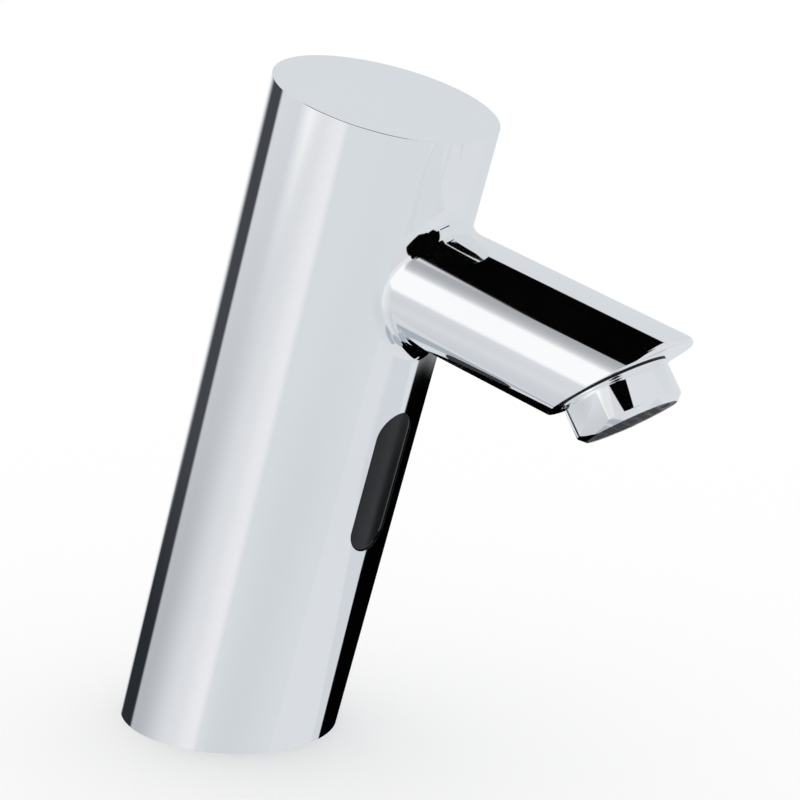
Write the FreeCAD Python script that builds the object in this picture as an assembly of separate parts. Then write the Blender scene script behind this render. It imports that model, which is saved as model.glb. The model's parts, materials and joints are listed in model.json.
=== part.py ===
import FreeCAD
import Part
import math
import os

# A deck-mounted basin tap with an infrared sensor. Millimetres, +Z up, the spout points to -Y.
# The origin is the centre of the base, on the deck. The body leans forward, towards the spout.

# ---- Driving dimensions: body casting ----
body_radius = 26.0
body_lean = 14.5  # degrees forward of upright
body_length = 161.7  # deck to top face, along the leaning axis
body_wall = 3.7
top_wall = 4.0
top_edge_radius = 0.6
bore_end_radius = 3.0

# ---- Driving dimensions: spout and outlet ----
spout_height = 127.0  # along the leaning axis
spout_radius = 14.1
spout_droop = 12.9  # degrees below level
spout_reach = 77.5  # body axis to outlet face, along the spout's axis
spout_wall = 3.6
spout_root_fillet = 5.0
spout_root_wall = 7.5
outlet_tilt = 35.0  # degrees of the outlet face from level, facing back
outlet_edge_radius = 0.6
aerator_setback = 2.4  # aerator's axis behind the spout's axis, in the outlet face

# ---- Driving dimensions: aerator ----
aerator_radius = 12.0
aerator_length = 9.2
aerator_thread_depth = 5.0
aerator_flats = 22.0  # across the two spanner flats
aerator_flats_turn = 8.6  # degrees, where the thread ends up when tight
aerator_bore_radius = 10.35
aerator_neck_radius = 9.6
collar_radius = 12.4
collar_height = 0.6
collar_gap = 0.25  # between the outlet face and the collar
collar_relief = 0.4  # depth and height of the groove under the collar
flats_low = 1.5  # where the spanner flats begin, from the outlet face
insert_seat = 1.0  # upper face of the insert's floor, from the outlet face
washer_height = 1.5
throat_wall = 1.6
throat_radius = 9.2
honeycomb_cell = 2.5
honeycomb_web = 0.45
honeycomb_height = 1.2
honeycomb_setback = 0.1
aerator_chamfer = 1.4
insert_wall = 1.0
insert_floor = 2.0
jet_radius = 0.6
jet_circle = 6.0
jet_count = 8
regulator_step = 1.0
regulator_ports = 6
port_radius = 0.5
strainer_skin = 0.5
strainer_crown = 2.6

# ---- Driving dimensions: sensor ----
window_width = 12.0
window_length = 36.0
window_height = 77.7  # centre, along the leaning axis
window_recess = 0.35
window_gap = 0.3
gasket_thickness = 1.0
flange_margin = 2.4
flange_thickness = 2.3
housing_depth = 9.0
housing_wall = 1.5
board_thickness = 1.6
cover_thickness = 1.4
emitter_radius = 2.5
emitter_foot = 1.0
eye_offset = 9.0  # emitter above, receiver below the window's centre
sensor_screw_offset = 25.5
sensor_boss_radius = 3.4
sensor_ear_thickness = 2.5
sensor_screw_cover = 2.0  # metal left in front of a screw's blind hole

# ---- Driving dimensions: base ----
plate_radius = 20.5
plate_thickness = 8.0
lug_radius = 3.2
lug_height = 10.0
blind_end = 1.0  # material left past the end of a screw hole
lug_places = [(-12.6, -11.6), (12.6, -11.6), (-13.8, 9.0)]
seal_radius = 22.4
seal_width = 1.9
seal_height = 1.3
stud_radius = 4.0  # M8
stud_depth = 15.0
stud_y = 11.5
stud_wall = 2.2
hose_radius = 5.0  # M10 x 1
spigot_radius = 7.4
spigot_height = 3.0
cable_place = (9.5, 4.0)
cable_radius = 2.4
grommet_neck = 3.9
grommet_flange = 5.1
grommet_lip = 1.2

# ---- Driving dimensions: solenoid valve ----
valve_y = -8.0
valve_low_radius = 9.5
valve_radius = 11.9
flange_corner = 3.5
valve_ear_x = 12.8
valve_ear_y = -4.5
valve_ear_height = 5.0
chamber_radius = 6.5
valve_wall = 1.3
filter_height = 2.0
filter_mesh = 0.4
cartridge_length = 12.6
cartridge_wall = 1.3
cartridge_seat_height = 2.6
cartridge_guide_height = 1.6
poppet_radius = 4.2
poppet_lap = 1.0  # how far the poppet reaches over its seat
poppet_height = 1.3
poppet_travel = 2.0
poppet_stem_radius = 1.2
gallery_height = 1.5
riser_radius = 2.0
duct_radius = 2.7
annulus_depth = 3.5
annulus_radius = 9.0
bead_wall = 0.5  # web clamped outside the annulus
seat_radius = 3.6
seat_wall = 1.0
diaphragm_radius = 11.2
diaphragm_web = 0.6
diaphragm_hub_height = 1.5
diaphragm_lift = 1.2
insert_radius = 6.0
insert_thickness = 1.0
insert_stem_radius = 1.8
insert_foot_height = 0.9
pilot_radius = 0.5
nozzle_wall = 0.6
nozzle_height = 0.8
bonnet_flange_height = 3.5
bonnet_height = 7.0
bonnet_neck_wall = 1.0
bonnet_screw_offset = 9.7
core_radius = 4.95
core_wall = 0.6
core_flange_radius = 6.2
core_flange_height = 0.8
armature_length = 18.0
armature_seal_radius = 2.1
armature_seal_length = 2.4
armature_flute = 0.7
armature_travel = 1.5
armature_gap = 0.3  # left to the pole when the coil holds the armature up
pole_length = 8.0
pole_stem_radius = 3.0
pole_stem_length = 5.0
coil_radius = 9.0
coil_length = 20.8
coil_flange = 1.0
terminal_width = 6.0
terminal_depth = 3.4
terminal_height = 6.0
yoke_thickness = 1.5
yoke_half_width = 8.5
yoke_bend = 0.5  # inner radius
nut_flats = 10.0
nut_height = 3.6
lead_radius = 1.0
lead_bend = 3.0
lead_run = 4.5  # straight out of the sensor's cover

# ---- Driving dimensions: springs, rings, screws and the water tube ----
spring_wire = 0.5
armature_spring_radius = 1.9
armature_spring_turns = 6
poppet_spring_radius = 2.6
poppet_spring_turns = 4
ring_section = 0.75  # radius of an O-ring's section
screw_radius = 1.5  # M3
screw_head_radius = 2.75
screw_head_height = 1.7
bonnet_screw_radius = 1.25
bonnet_head_radius = 2.25
bonnet_head_height = 1.25
tube_radius = 3.0
tube_wall = 0.7
tube_x = 15.3
tower_wall = 1.65
tube_bends = (20.0, 14.0, 9.0)
tube_turn = 7.65  # behind the body's axis, where the tube turns into the spout

# ---- Clearances ----
running_gap = 0.05  # a sliding shaft in its hole, per side
slip_gap = 0.1  # parts that are pushed together, per side
air_gap = 0.3  # parts that face each other without touching
far = 400.0  # larger than the whole tap
match = 0.01  # two surfaces this close are taken as one

VERTICAL = FreeCAD.Vector(0, 0, 1)


# ---- Helpers ----
def vec(x, y, z):
    return FreeCAD.Vector(x, y, z)


def tilted(point, angle):
    """Frame at a point, turned about the X axis."""
    return FreeCAD.Placement(point, FreeCAD.Rotation(vec(1, 0, 0), angle))


def placed(shape, frame):
    moved = shape.copy()
    moved.Placement = frame.multiply(moved.Placement)
    return moved


def rod(radius, low, high, x=0.0, y=0.0):
    return Part.makeCylinder(radius, high - low, vec(x, y, low))


def ring(outer, inner, low, high, x=0.0, y=0.0):
    return rod(outer, low, high, x, y).cut(rod(inner, low, high, x, y))


def cross_rod(radius, start, end):
    """Cylinder between two points."""
    along = end.sub(start)
    return Part.makeCylinder(radius, along.Length, start, along)


def turned(corners, x=0.0, y=0.0):
    """Solid of revolution about an upright axis, from (radius, height) corners."""
    points = [vec(radius, 0, height) for radius, height in corners]
    face = Part.Face(Part.makePolygon(points + points[:1]))
    solid = face.revolve(vec(0, 0, 0), VERTICAL, 360)
    solid.translate(vec(x, y, 0))
    return solid


def slab(low, high, half_x=far, half_y=far):
    """Block between two heights, centred on the Z axis."""
    return Part.makeBox(2 * half_x, 2 * half_y, high - low, vec(-half_x, -half_y, low))


def edges_along(shape, axis):
    """Straight edges of a block that run along one axis."""
    return [edge for edge in shape.Edges if abs(edge.tangentAt(edge.FirstParameter).dot(axis)) > 1 - match]


def rounded_block(half_x, half_y, corner, low, high):
    block = slab(low, high, half_x, half_y)
    return block.makeFillet(corner, edges_along(block, VERTICAL))


def stadium(width, length, centre, front, back):
    """Prism with two round ends, upright in XZ, between two depths along Y."""
    r = width / 2
    h = length / 2 - r
    right = Part.LineSegment(vec(r, front, centre - h), vec(r, front, centre + h))
    top = Part.Arc(vec(r, front, centre + h), vec(0, front, centre + h + r), vec(-r, front, centre + h))
    left = Part.LineSegment(vec(-r, front, centre + h), vec(-r, front, centre - h))
    foot = Part.Arc(vec(-r, front, centre - h), vec(0, front, centre - h - r), vec(r, front, centre - h))
    outline = Part.Wire([piece.toShape() for piece in (right, top, left, foot)])
    return Part.Face(outline).extrude(vec(0, back - front, 0))


def hexagon(across_flats, low, high, x=0.0, y=0.0):
    corner = across_flats / math.sqrt(3)
    points = [
        vec(x + corner * math.cos(math.radians(60 * k)), y + corner * math.sin(math.radians(60 * k)), low)
        for k in range(7)
    ]
    return Part.Face(Part.makePolygon(points)).extrude(vec(0, 0, high - low))


def o_ring(inner_radius, height, x=0.0, y=0.0):
    """Rubber ring of six-sided section, standing for a round one."""
    middle = inner_radius + ring_section
    corners = [
        (
            middle + ring_section * math.cos(math.radians(60 * k)),
            height + ring_section * math.sin(math.radians(60 * k)),
        )
        for k in range(6)
    ]
    return turned(corners, x, y)


def ring_groove(outer, inner, height, x=0.0, y=0.0):
    """Square groove for an O-ring between two radii."""
    half = ring_section + slip_gap
    return ring(outer, inner, height - half, height + half, x, y)


def bent_path(points, radii):
    """Wire of straight runs joined by tangent arcs."""
    edges = []
    start = points[0]
    for before, corner, after, radius in zip(points, points[1:], points[2:], radii):
        inward = before.sub(corner).normalize()
        outward = after.sub(corner).normalize()
        half_angle = inward.getAngle(outward) / 2
        reach = radius / math.tan(half_angle)
        middle = inward.add(outward).normalize()
        first = corner.add(vec(*inward).multiply(reach))
        last = corner.add(vec(*outward).multiply(reach))
        bulge = corner.add(middle.multiply(radius / math.sin(half_angle) - radius))
        edges.append(Part.LineSegment(start, first).toShape())
        edges.append(Part.Arc(first, bulge, last).toShape())
        start = last
    edges.append(Part.LineSegment(start, points[-1]).toShape())
    return Part.Wire(edges)


def swept(path, radius):
    """Round bar along a path."""
    first = path.Edges[0]
    start = first.Vertexes[0].Point
    profile = Part.Wire(Part.makeCircle(radius, start, first.tangentAt(first.FirstParameter)))
    return path.makePipeShell([profile], True, False)


def spring(radius, turns, low, high):
    """Compression spring of square-section wire, standing on the Z axis."""
    half = spring_wire / 2
    helix = Part.makeHelix((high - low - 2 * half) / turns, high - low - 2 * half, radius)
    corners = [(radius - half, -half), (radius + half, -half), (radius + half, half), (radius - half, half)]
    points = [vec(x, 0, z) for x, z in corners]
    profile = Part.makePolygon(points + points[:1])
    coil = Part.Wire(helix.Edges).makePipeShell([profile], True, True)
    coil.translate(vec(0, 0, low + half))
    return coil


# ---- Frames ----
lean_frame = tilted(vec(0, 0, 0), body_lean)
spout_frame = tilted(lean_frame.multVec(vec(0, 0, spout_height)), 90 + spout_droop)
outlet_centre = spout_frame.multVec(vec(0, 0, spout_reach))
outlet_frame = tilted(outlet_centre, 180 - outlet_tilt)
aerator_frame = outlet_frame.multiply(tilted(vec(0, -aerator_setback, 0), 0))
valve_frame = tilted(vec(0, valve_y, 0), 0)

# ---- Radii and heights that follow from the driving dimensions ----
bore_radius = body_radius - body_wall
channel_start = bore_radius + spout_root_wall
throat_depth = aerator_thread_depth + washer_height + throat_wall
tube_socket_radius = tube_radius + running_gap
ring_groove_radius = tube_radius + 2 * (ring_section + running_gap)

spigot_top = plate_thickness + spigot_height
inlet_ring_height = plate_thickness + spigot_height / 2
inlet_ring_radius = spigot_radius + slip_gap - running_gap - 2 * ring_section
filter_low = spigot_top + slip_gap
filter_top = filter_low + filter_height
cartridge_low = filter_top + slip_gap
cartridge_top = cartridge_low + cartridge_length
cartridge_ring_height = cartridge_low + cartridge_seat_height / 2
cartridge_ring_radius = chamber_radius - running_gap - 2 * ring_section
poppet_seat = cartridge_low + cartridge_seat_height
poppet_low = poppet_seat + running_gap
poppet_top = poppet_low + poppet_height
guide_top = cartridge_top - poppet_travel / 2
guide_low = guide_top - cartridge_guide_height
gallery_top = cartridge_top + gallery_height
duct_z = gallery_top + valve_wall + duct_radius
annulus_floor = duct_z + duct_radius + seat_wall
seat_z = annulus_floor + annulus_depth
web_z = seat_z + (diaphragm_hub_height - diaphragm_web) / 2
joint_z = web_z + diaphragm_web
hub_top = seat_z + diaphragm_hub_height
insert_top = hub_top + insert_thickness
nozzle_top = insert_top + nozzle_height
core_low = insert_top + diaphragm_lift + diaphragm_web
armature_radius = core_radius - core_wall - running_gap
armature_low = nozzle_top + diaphragm_web
armature_top = armature_low + armature_length
pole_low = armature_top + armature_travel + armature_gap
pole_top = pole_low + pole_length
bonnet_top = joint_z + bonnet_height
coil_low = bonnet_top + yoke_thickness + slip_gap
coil_top = coil_low + coil_length
yoke_top = coil_top + slip_gap + yoke_thickness
bead_height = joint_z - web_z + diaphragm_hub_height - diaphragm_web
spring_seat = armature_top - armature_length / 2

gasket_radius = bore_radius - gasket_thickness
flange_back = gasket_radius - flange_thickness
flange_width = window_width + 2 * flange_margin
flange_length = window_length + 2 * flange_margin
housing_back = flange_back - housing_depth
board_front = housing_back + board_thickness + housing_wall
emitter_tip = flange_back - 2 * slip_gap


# ---- Body casting ----
def on_both_cylinders(edge):
    """True for the edge where the spout's cylinder meets the body's."""
    lean_inverse = lean_frame.inverse()
    spout_inverse = spout_frame.inverse()
    for share in (0.2, 0.5, 0.8):
        point = edge.valueAt(edge.FirstParameter + share * (edge.LastParameter - edge.FirstParameter))
        at_body = lean_inverse.multVec(point)
        at_spout = spout_inverse.multVec(point)
        if abs(math.hypot(at_body.x, at_body.y) - body_radius) > match:
            return False
        if abs(math.hypot(at_spout.x, at_spout.y) - spout_radius) > match:
            return False
    return True


def in_plane(edge, frame, height):
    """True for an edge that lies at one height of a frame."""
    inverse = frame.inverse()
    span = edge.LastParameter - edge.FirstParameter
    points = [edge.valueAt(edge.FirstParameter + share * span) for share in (0.0, 0.3, 0.7)]
    return all(abs(inverse.multVec(point).z - height) < match for point in points)


def casting_outside():
    """Leaning column and slanted spout, blended together and cut off level at the deck."""
    column = rod(body_radius, -body_radius, body_length)
    rim = [edge for edge in column.Edges if in_plane(edge, tilted(vec(0, 0, 0), 0), body_length)]
    column = placed(column.makeFillet(top_edge_radius, rim), lean_frame)
    spout = placed(rod(spout_radius, 0, spout_reach + 2 * spout_radius), spout_frame)
    spout = spout.cut(placed(slab(0, far), outlet_frame))
    outside = column.fuse(spout).common(slab(0, far))
    root = [edge for edge in outside.Edges if on_both_cylinders(edge)]
    outside = outside.makeFillet(spout_root_fillet, root)
    lip = [edge for edge in outside.Edges if in_plane(edge, outlet_frame, 0)]
    return outside.makeFillet(outlet_edge_radius, lip)


def base_lugs():
    """Screw lugs for the base plate, each running out into the wall of the bore."""
    lugs = []
    for x, y in lug_places:
        lug = rod(lug_radius, plate_thickness, plate_thickness + lug_height)
        web = Part.makeBox(body_radius, 2 * lug_radius, lug_height, vec(0, -lug_radius, plate_thickness))
        lug = lug.fuse(web)
        lug.rotate(vec(0, 0, 0), VERTICAL, math.degrees(math.atan2(y, x)))
        lug.translate(vec(x, y, 0))
        lugs.append(lug)
    return lugs


def sensor_screw_heights():
    return [window_height - sensor_screw_offset, window_height + sensor_screw_offset]


def depth_rod(radius, front, back, height):
    """Cylinder along Y of the leaning frame, between two distances in front of the body's axis."""
    return cross_rod(radius, vec(0, -front, height), vec(0, -back, height))


def casting_cavity():
    """Leaning bore, open at the base, with the lugs and sensor bosses left standing."""
    bore = rod(bore_radius, -body_radius, body_length - top_wall)
    end = [edge for edge in bore.Edges if in_plane(edge, tilted(vec(0, 0, 0), 0), body_length - top_wall)]
    bore = bore.makeFillet(bore_end_radius, end)
    for height in sensor_screw_heights():
        bore = bore.cut(depth_rod(sensor_boss_radius, body_radius, flange_back, height))
    bore = placed(bore, lean_frame).common(slab(plate_thickness, far))
    return bore.cut(base_lugs())


def spout_channel():
    """Water channel of the spout, from behind the root to the aerator's socket."""
    channel = placed(rod(spout_radius - spout_wall, channel_start, spout_reach), spout_frame)
    channel = channel.cut(placed(slab(-throat_depth, far), outlet_frame))
    throat = rod(throat_radius, -throat_depth - throat_wall, 0)
    socket = rod(aerator_radius + slip_gap, throat_wall - throat_depth, spout_radius)
    inlet = rod(tube_socket_radius, bore_radius - spout_root_wall, channel_start + spout_wall)
    groove = tube_ring_groove(upper_ring_height())
    return [
        channel,
        placed(throat, aerator_frame),
        placed(socket, aerator_frame),
        placed(inlet, spout_frame),
        placed(groove, spout_frame),
    ]


def tube_ring_groove(height, x=0.0):
    return ring_groove(ring_groove_radius, tube_radius, height, x)


def upper_ring_height():
    """Distance of the tube's upper O-ring from the body's axis."""
    return (bore_radius + channel_start) / 2


def make_tap_body():
    body = casting_outside().cut(casting_cavity())
    body = body.cut(spout_channel())
    recess = rod(plate_radius + slip_gap, 0, plate_thickness)
    groove = ring(seal_radius + seal_width + slip_gap, seal_radius - slip_gap, 0, seal_height)
    opening = stadium(window_width, window_length, window_height, -body_radius - air_gap, -flange_back)
    screw_holes = [
        placed(depth_rod(screw_radius, body_radius - sensor_screw_cover, flange_back, height), lean_frame)
        for height in sensor_screw_heights()
    ]
    lug_hole_top = plate_thickness + lug_height - blind_end
    lug_holes = [rod(screw_radius, plate_thickness, lug_hole_top, x, y) for x, y in lug_places]
    return body.cut([recess, groove, placed(opening, lean_frame)] + screw_holes + lug_holes)


# ---- Base ----
def countersunk_screw(x, y, length):
    """Screw driven up from under the base plate."""
    head = slip_gap
    corners = [
        (0, head),
        (screw_head_radius, head),
        (screw_radius, head + screw_head_height),
        (screw_radius, length),
        (0, length),
    ]
    return turned(corners, x, y)


def countersink(x, y):
    edge = screw_head_radius + slip_gap
    neck = screw_radius + slip_gap
    corners = [
        (0, 0),
        (edge, 0),
        (edge, slip_gap),
        (neck, slip_gap + screw_head_height),
        (neck, plate_thickness),
        (0, plate_thickness),
    ]
    return turned(corners, x, y)


def valve_ears():
    return [(-valve_ear_x, valve_ear_y), (valve_ear_x, valve_ear_y)]


def make_base_plate():
    plate = rod(plate_radius, 0, plate_thickness)
    stud_boss = rod(stud_radius + stud_wall, plate_thickness, stud_depth + stud_wall, 0, stud_y)
    spigot = rod(spigot_radius, plate_thickness, spigot_top, 0, valve_y)
    plate = plate.fuse([stud_boss, spigot])
    x, y = cable_place
    cuts = [
        rod(stud_radius, 0, stud_depth, 0, stud_y),
        rod(hose_radius, 0, spigot_top, 0, valve_y),
        rod(grommet_neck + slip_gap, 0, plate_thickness, x, y),
        rod(grommet_flange + slip_gap, 0, grommet_lip + slip_gap, x, y),
        ring_groove(spigot_radius, inlet_ring_radius - running_gap, inlet_ring_height, 0, valve_y),
    ]
    cuts += [countersink(*place) for place in lug_places + valve_ears()]
    return plate.cut(cuts)


def make_base_plate_screws():
    length = plate_thickness + lug_height - 2 * blind_end
    return Part.Compound([countersunk_screw(x, y, length) for x, y in lug_places])


def make_valve_screws():
    length = plate_thickness + valve_ear_height - blind_end
    return Part.Compound([countersunk_screw(x, y, length) for x, y in valve_ears()])


def make_base_seal():
    return ring(seal_radius + seal_width, seal_radius, 0, seal_height)


def make_cable_grommet():
    x, y = cable_place
    corners = [
        (cable_radius, slip_gap),
        (grommet_flange, slip_gap),
        (grommet_flange, grommet_lip),
        (grommet_neck, grommet_lip),
        (grommet_neck, plate_thickness + running_gap),
        (grommet_flange, plate_thickness + running_gap),
        (grommet_flange - grommet_lip / 2, plate_thickness + grommet_lip),
        (cable_radius, plate_thickness + grommet_lip),
    ]
    return turned(corners, x, y)


# ---- Inlet: filter and check valve ----
def make_inlet_o_ring():
    return o_ring(inlet_ring_radius, inlet_ring_height, 0, valve_y)


def make_inlet_filter():
    """Rim with a shallow strainer cone, pressed into the valve's inlet."""
    rim = chamber_radius - slip_gap
    crown = filter_low + filter_height - filter_mesh
    corners = [
        (0, crown),
        (hose_radius, filter_low),
        (rim, filter_low),
        (rim, filter_top),
        (hose_radius + filter_mesh, filter_top),
        (hose_radius + filter_mesh, filter_low + filter_mesh),
        (hose_radius, filter_low + filter_mesh),
        (0, crown + filter_mesh),
    ]
    return turned(corners, 0, valve_y)


def make_check_valve_body():
    """Short tube with a seat below and a three-armed stem guide above."""
    outer = chamber_radius - running_gap
    inner = outer - cartridge_wall
    shell = ring(outer, inner, cartridge_low, cartridge_top)
    seat = ring(outer, poppet_radius - poppet_lap, cartridge_low, poppet_seat)
    hub = rod(poppet_stem_radius + cartridge_wall, guide_low, guide_top)
    arms = []
    for k in range(3):
        arm = Part.makeBox(inner + cartridge_wall / 2, cartridge_wall, cartridge_guide_height)
        arm.translate(vec(0, -cartridge_wall / 2, guide_low))
        arm.rotate(vec(0, 0, 0), VERTICAL, 120 * k)
        arms.append(arm)
    cuts = [
        rod(poppet_stem_radius + running_gap, guide_low, guide_top),
        ring_groove(outer, cartridge_ring_radius - running_gap, cartridge_ring_height),
    ]
    return placed(shell.fuse([seat, hub] + arms).cut(cuts), valve_frame)


def make_check_valve_o_ring():
    return o_ring(cartridge_ring_radius, cartridge_ring_height, 0, valve_y)


def make_check_valve_poppet():
    """Disc with a nose in the seat and a stem in the guide."""
    nose = poppet_radius - poppet_lap - air_gap
    corners = [
        (0, poppet_low - poppet_height),
        (nose - poppet_height / 2, poppet_low - poppet_height),
        (nose, poppet_low),
        (poppet_radius, poppet_low),
        (poppet_radius, poppet_top),
        (poppet_stem_radius, poppet_top),
        (poppet_stem_radius, guide_top),
        (0, guide_top),
    ]
    return turned(corners, 0, valve_y)


def make_check_valve_spring():
    coil = spring(poppet_spring_radius, poppet_spring_turns, poppet_top, guide_low)
    return placed(coil, valve_frame)


# ---- Solenoid valve ----
def square_corners():
    offset = bonnet_screw_offset
    return [(x, y) for x in (-offset, offset) for y in (-offset, offset)]


def valve_outside():
    """Foot with two ears, round waist, square flange and the outlet tower."""
    foot = rod(valve_low_radius, plate_thickness, cartridge_top)
    waist = rod(valve_radius, cartridge_top - valve_wall, joint_z - bonnet_flange_height)
    flange_low = joint_z - bonnet_flange_height
    flange = rounded_block(valve_radius, valve_radius, flange_corner, flange_low, joint_z)
    tower_radius = tube_radius + tower_wall
    tower_low = duct_z - tower_radius
    tower = rod(tower_radius, tower_low, joint_z - air_gap, tube_x)
    web = Part.makeBox(tube_x, 2 * duct_radius + tower_wall, flange_low - tower_low)
    web.translate(vec(0, -duct_radius - tower_wall / 2, tower_low))
    ears = []
    for x, y in valve_ears():
        ear = rod(lug_radius, plate_thickness, plate_thickness + valve_ear_height)
        arm = Part.makeBox(abs(x), 2 * lug_radius, valve_ear_height, vec(0, -lug_radius, plate_thickness))
        arm.rotate(vec(0, 0, 0), VERTICAL, math.degrees(math.atan2(valve_y - y, -x)))
        ear = ear.fuse(arm)
        ear.translate(vec(x, y - valve_y, 0))
        ears.append(ear)
    return foot.fuse([waist, flange, tower, web] + ears)


def make_valve_body():
    cuts = [
        rod(spigot_radius + slip_gap, plate_thickness, spigot_top + slip_gap),
        rod(chamber_radius, plate_thickness, cartridge_top),
        rod(annulus_radius + bead_wall, cartridge_top, gallery_top),
        ring(annulus_radius, seat_radius + seat_wall, annulus_floor, seat_z),
        rod(annulus_radius, seat_z, web_z),
        rod(annulus_radius + bead_wall, web_z, joint_z),
        ring(diaphragm_radius + running_gap, annulus_radius + bead_wall, joint_z - bead_height, joint_z),
        rod(seat_radius, duct_z, seat_z),
        cross_rod(duct_radius, vec(0, 0, duct_z), vec(tube_x, 0, duct_z)),
        rod(tube_radius - tube_wall, duct_z, joint_z, tube_x),
        rod(tube_socket_radius, tube_foot(), joint_z, tube_x),
    ]
    cuts.append(tube_ring_groove(lower_ring_height(), tube_x))
    riser_circle = annulus_radius - slip_gap - riser_radius
    for x, y in ((-riser_circle, 0), (0, riser_circle), (0, -riser_circle)):
        cuts.append(rod(riser_radius, gallery_top, annulus_floor, x, y))
    for x, y in square_corners():
        cuts.append(rod(bonnet_screw_radius, joint_z - bonnet_flange_height, joint_z, x, y))
    for x, y in valve_ears():
        cuts.append(rod(screw_radius, plate_thickness, plate_thickness + valve_ear_height, x, y - valve_y))
    return placed(valve_outside().cut(cuts), valve_frame)


def make_valve_diaphragm():
    """Rubber disc: clamped bead, thin web and a hub that closes the seat."""
    bead_low = joint_z - bead_height + running_gap
    bead_inner = annulus_radius + bead_wall + running_gap
    hub = insert_radius - bead_wall
    corners = [
        (insert_stem_radius + running_gap, seat_z),
        (hub, seat_z),
        (hub, web_z),
        (bead_inner, web_z),
        (bead_inner, bead_low),
        (diaphragm_radius, bead_low),
        (diaphragm_radius, joint_z),
        (hub, joint_z),
        (hub, hub_top),
        (insert_stem_radius + running_gap, hub_top),
    ]
    return turned(corners, 0, valve_y)


def make_diaphragm_insert():
    """Stiff disc on the diaphragm, with the pilot nozzle and a retaining foot in the seat."""
    foot = seat_radius - 2 * air_gap
    foot_low = seat_z - running_gap - insert_foot_height
    corners = [
        (pilot_radius, foot_low),
        (foot, foot_low),
        (foot, seat_z - running_gap),
        (insert_stem_radius, seat_z - running_gap),
        (insert_stem_radius, hub_top),
        (insert_radius, hub_top),
        (insert_radius, insert_top),
        (pilot_radius + 2 * nozzle_wall, insert_top),
        (pilot_radius + nozzle_wall, nozzle_top),
        (pilot_radius, nozzle_top),
    ]
    return turned(corners, 0, valve_y)


def make_valve_bonnet():
    """Square cover over the diaphragm that holds the core tube."""
    flange_top = joint_z + bonnet_flange_height
    bonnet = rounded_block(valve_radius, valve_radius, flange_corner, joint_z, flange_top)
    bonnet = bonnet.fuse(rod(core_flange_radius + bonnet_neck_wall, joint_z, bonnet_top))
    cuts = [
        rod(annulus_radius, joint_z, core_low),
        rod(core_flange_radius + running_gap, joint_z, core_low + core_flange_height),
        rod(core_radius + running_gap, joint_z, bonnet_top),
    ]
    for x, y in square_corners():
        cuts.append(rod(bonnet_screw_radius + slip_gap, joint_z, flange_top, x, y))
    return placed(bonnet.cut(cuts), valve_frame)


def make_bonnet_screws():
    low = joint_z - bonnet_flange_height + slip_gap
    top = joint_z + bonnet_flange_height
    screws = []
    for x, y in square_corners():
        shank = rod(bonnet_screw_radius, low, top, x, y)
        head = rod(bonnet_head_radius, top, top + bonnet_head_height, x, y)
        screws.append(placed(shank.fuse(head), valve_frame))
    return Part.Compound(screws)


def make_core_tube():
    corners = [
        (core_radius - core_wall, core_low),
        (core_flange_radius, core_low),
        (core_flange_radius, core_low + core_flange_height - running_gap),
        (core_radius, core_low + core_flange_height - running_gap),
        (core_radius, pole_top),
        (core_radius - core_wall, pole_top),
    ]
    return turned(corners, 0, valve_y)


def make_pole_piece():
    """Fixed iron core that closes the tube, with a threaded stem for the coil's nut."""
    corners = [
        (0, pole_low),
        (core_radius - core_wall - running_gap / 2, pole_low),
        (core_radius - core_wall - running_gap / 2, pole_top),
        (pole_stem_radius, pole_top),
        (pole_stem_radius, pole_top + pole_stem_length),
        (0, pole_top + pole_stem_length),
    ]
    return turned(corners, 0, valve_y)


def make_armature():
    """Iron plunger with a spring pocket above, a seal pocket below and two water flutes."""
    plunger = rod(armature_radius, armature_low, armature_top)
    cuts = [
        rod(armature_spring_radius + spring_wire, spring_seat, armature_top),
        rod(armature_seal_radius + running_gap, armature_low, nozzle_top + armature_seal_length),
    ]
    for side in (-1, 1):
        cuts.append(rod(armature_flute, armature_low, armature_top, side * armature_radius))
    return placed(plunger.cut(cuts), valve_frame)


def make_armature_seal():
    low = nozzle_top + running_gap
    top = nozzle_top + armature_seal_length - running_gap
    return rod(armature_seal_radius, low, top, 0, valve_y)


def make_armature_spring():
    coil = spring(armature_spring_radius, armature_spring_turns, spring_seat, pole_low)
    return placed(coil, valve_frame)


def make_coil_bobbin():
    """Flanged bobbin with a terminal block for the lead."""
    inner = core_radius + slip_gap
    drum = inner + coil_flange
    corners = [
        (inner, coil_low),
        (coil_radius, coil_low),
        (coil_radius, coil_low + coil_flange),
        (drum, coil_low + coil_flange),
        (drum, coil_top - coil_flange),
        (coil_radius, coil_top - coil_flange),
        (coil_radius, coil_top),
        (inner, coil_top),
    ]
    block = Part.makeBox(terminal_width, terminal_depth + coil_flange / 4, terminal_height)
    block.translate(vec(-terminal_width / 2, -coil_radius - terminal_depth, coil_top - terminal_height))
    return placed(turned(corners).fuse(block), valve_frame)


def make_coil_winding():
    inner = core_radius + slip_gap + coil_flange
    outer = coil_radius - coil_flange / 2
    return ring(outer, inner, coil_low + coil_flange, coil_top - coil_flange, 0, valve_y)


def side_edges(block, side):
    """The two edges along Y on the side of a block that lies at one X."""
    return [edge for edge in edges_along(block, vec(0, 1, 0)) if abs(edge.CenterOfMass.x - side) < match]


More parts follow.
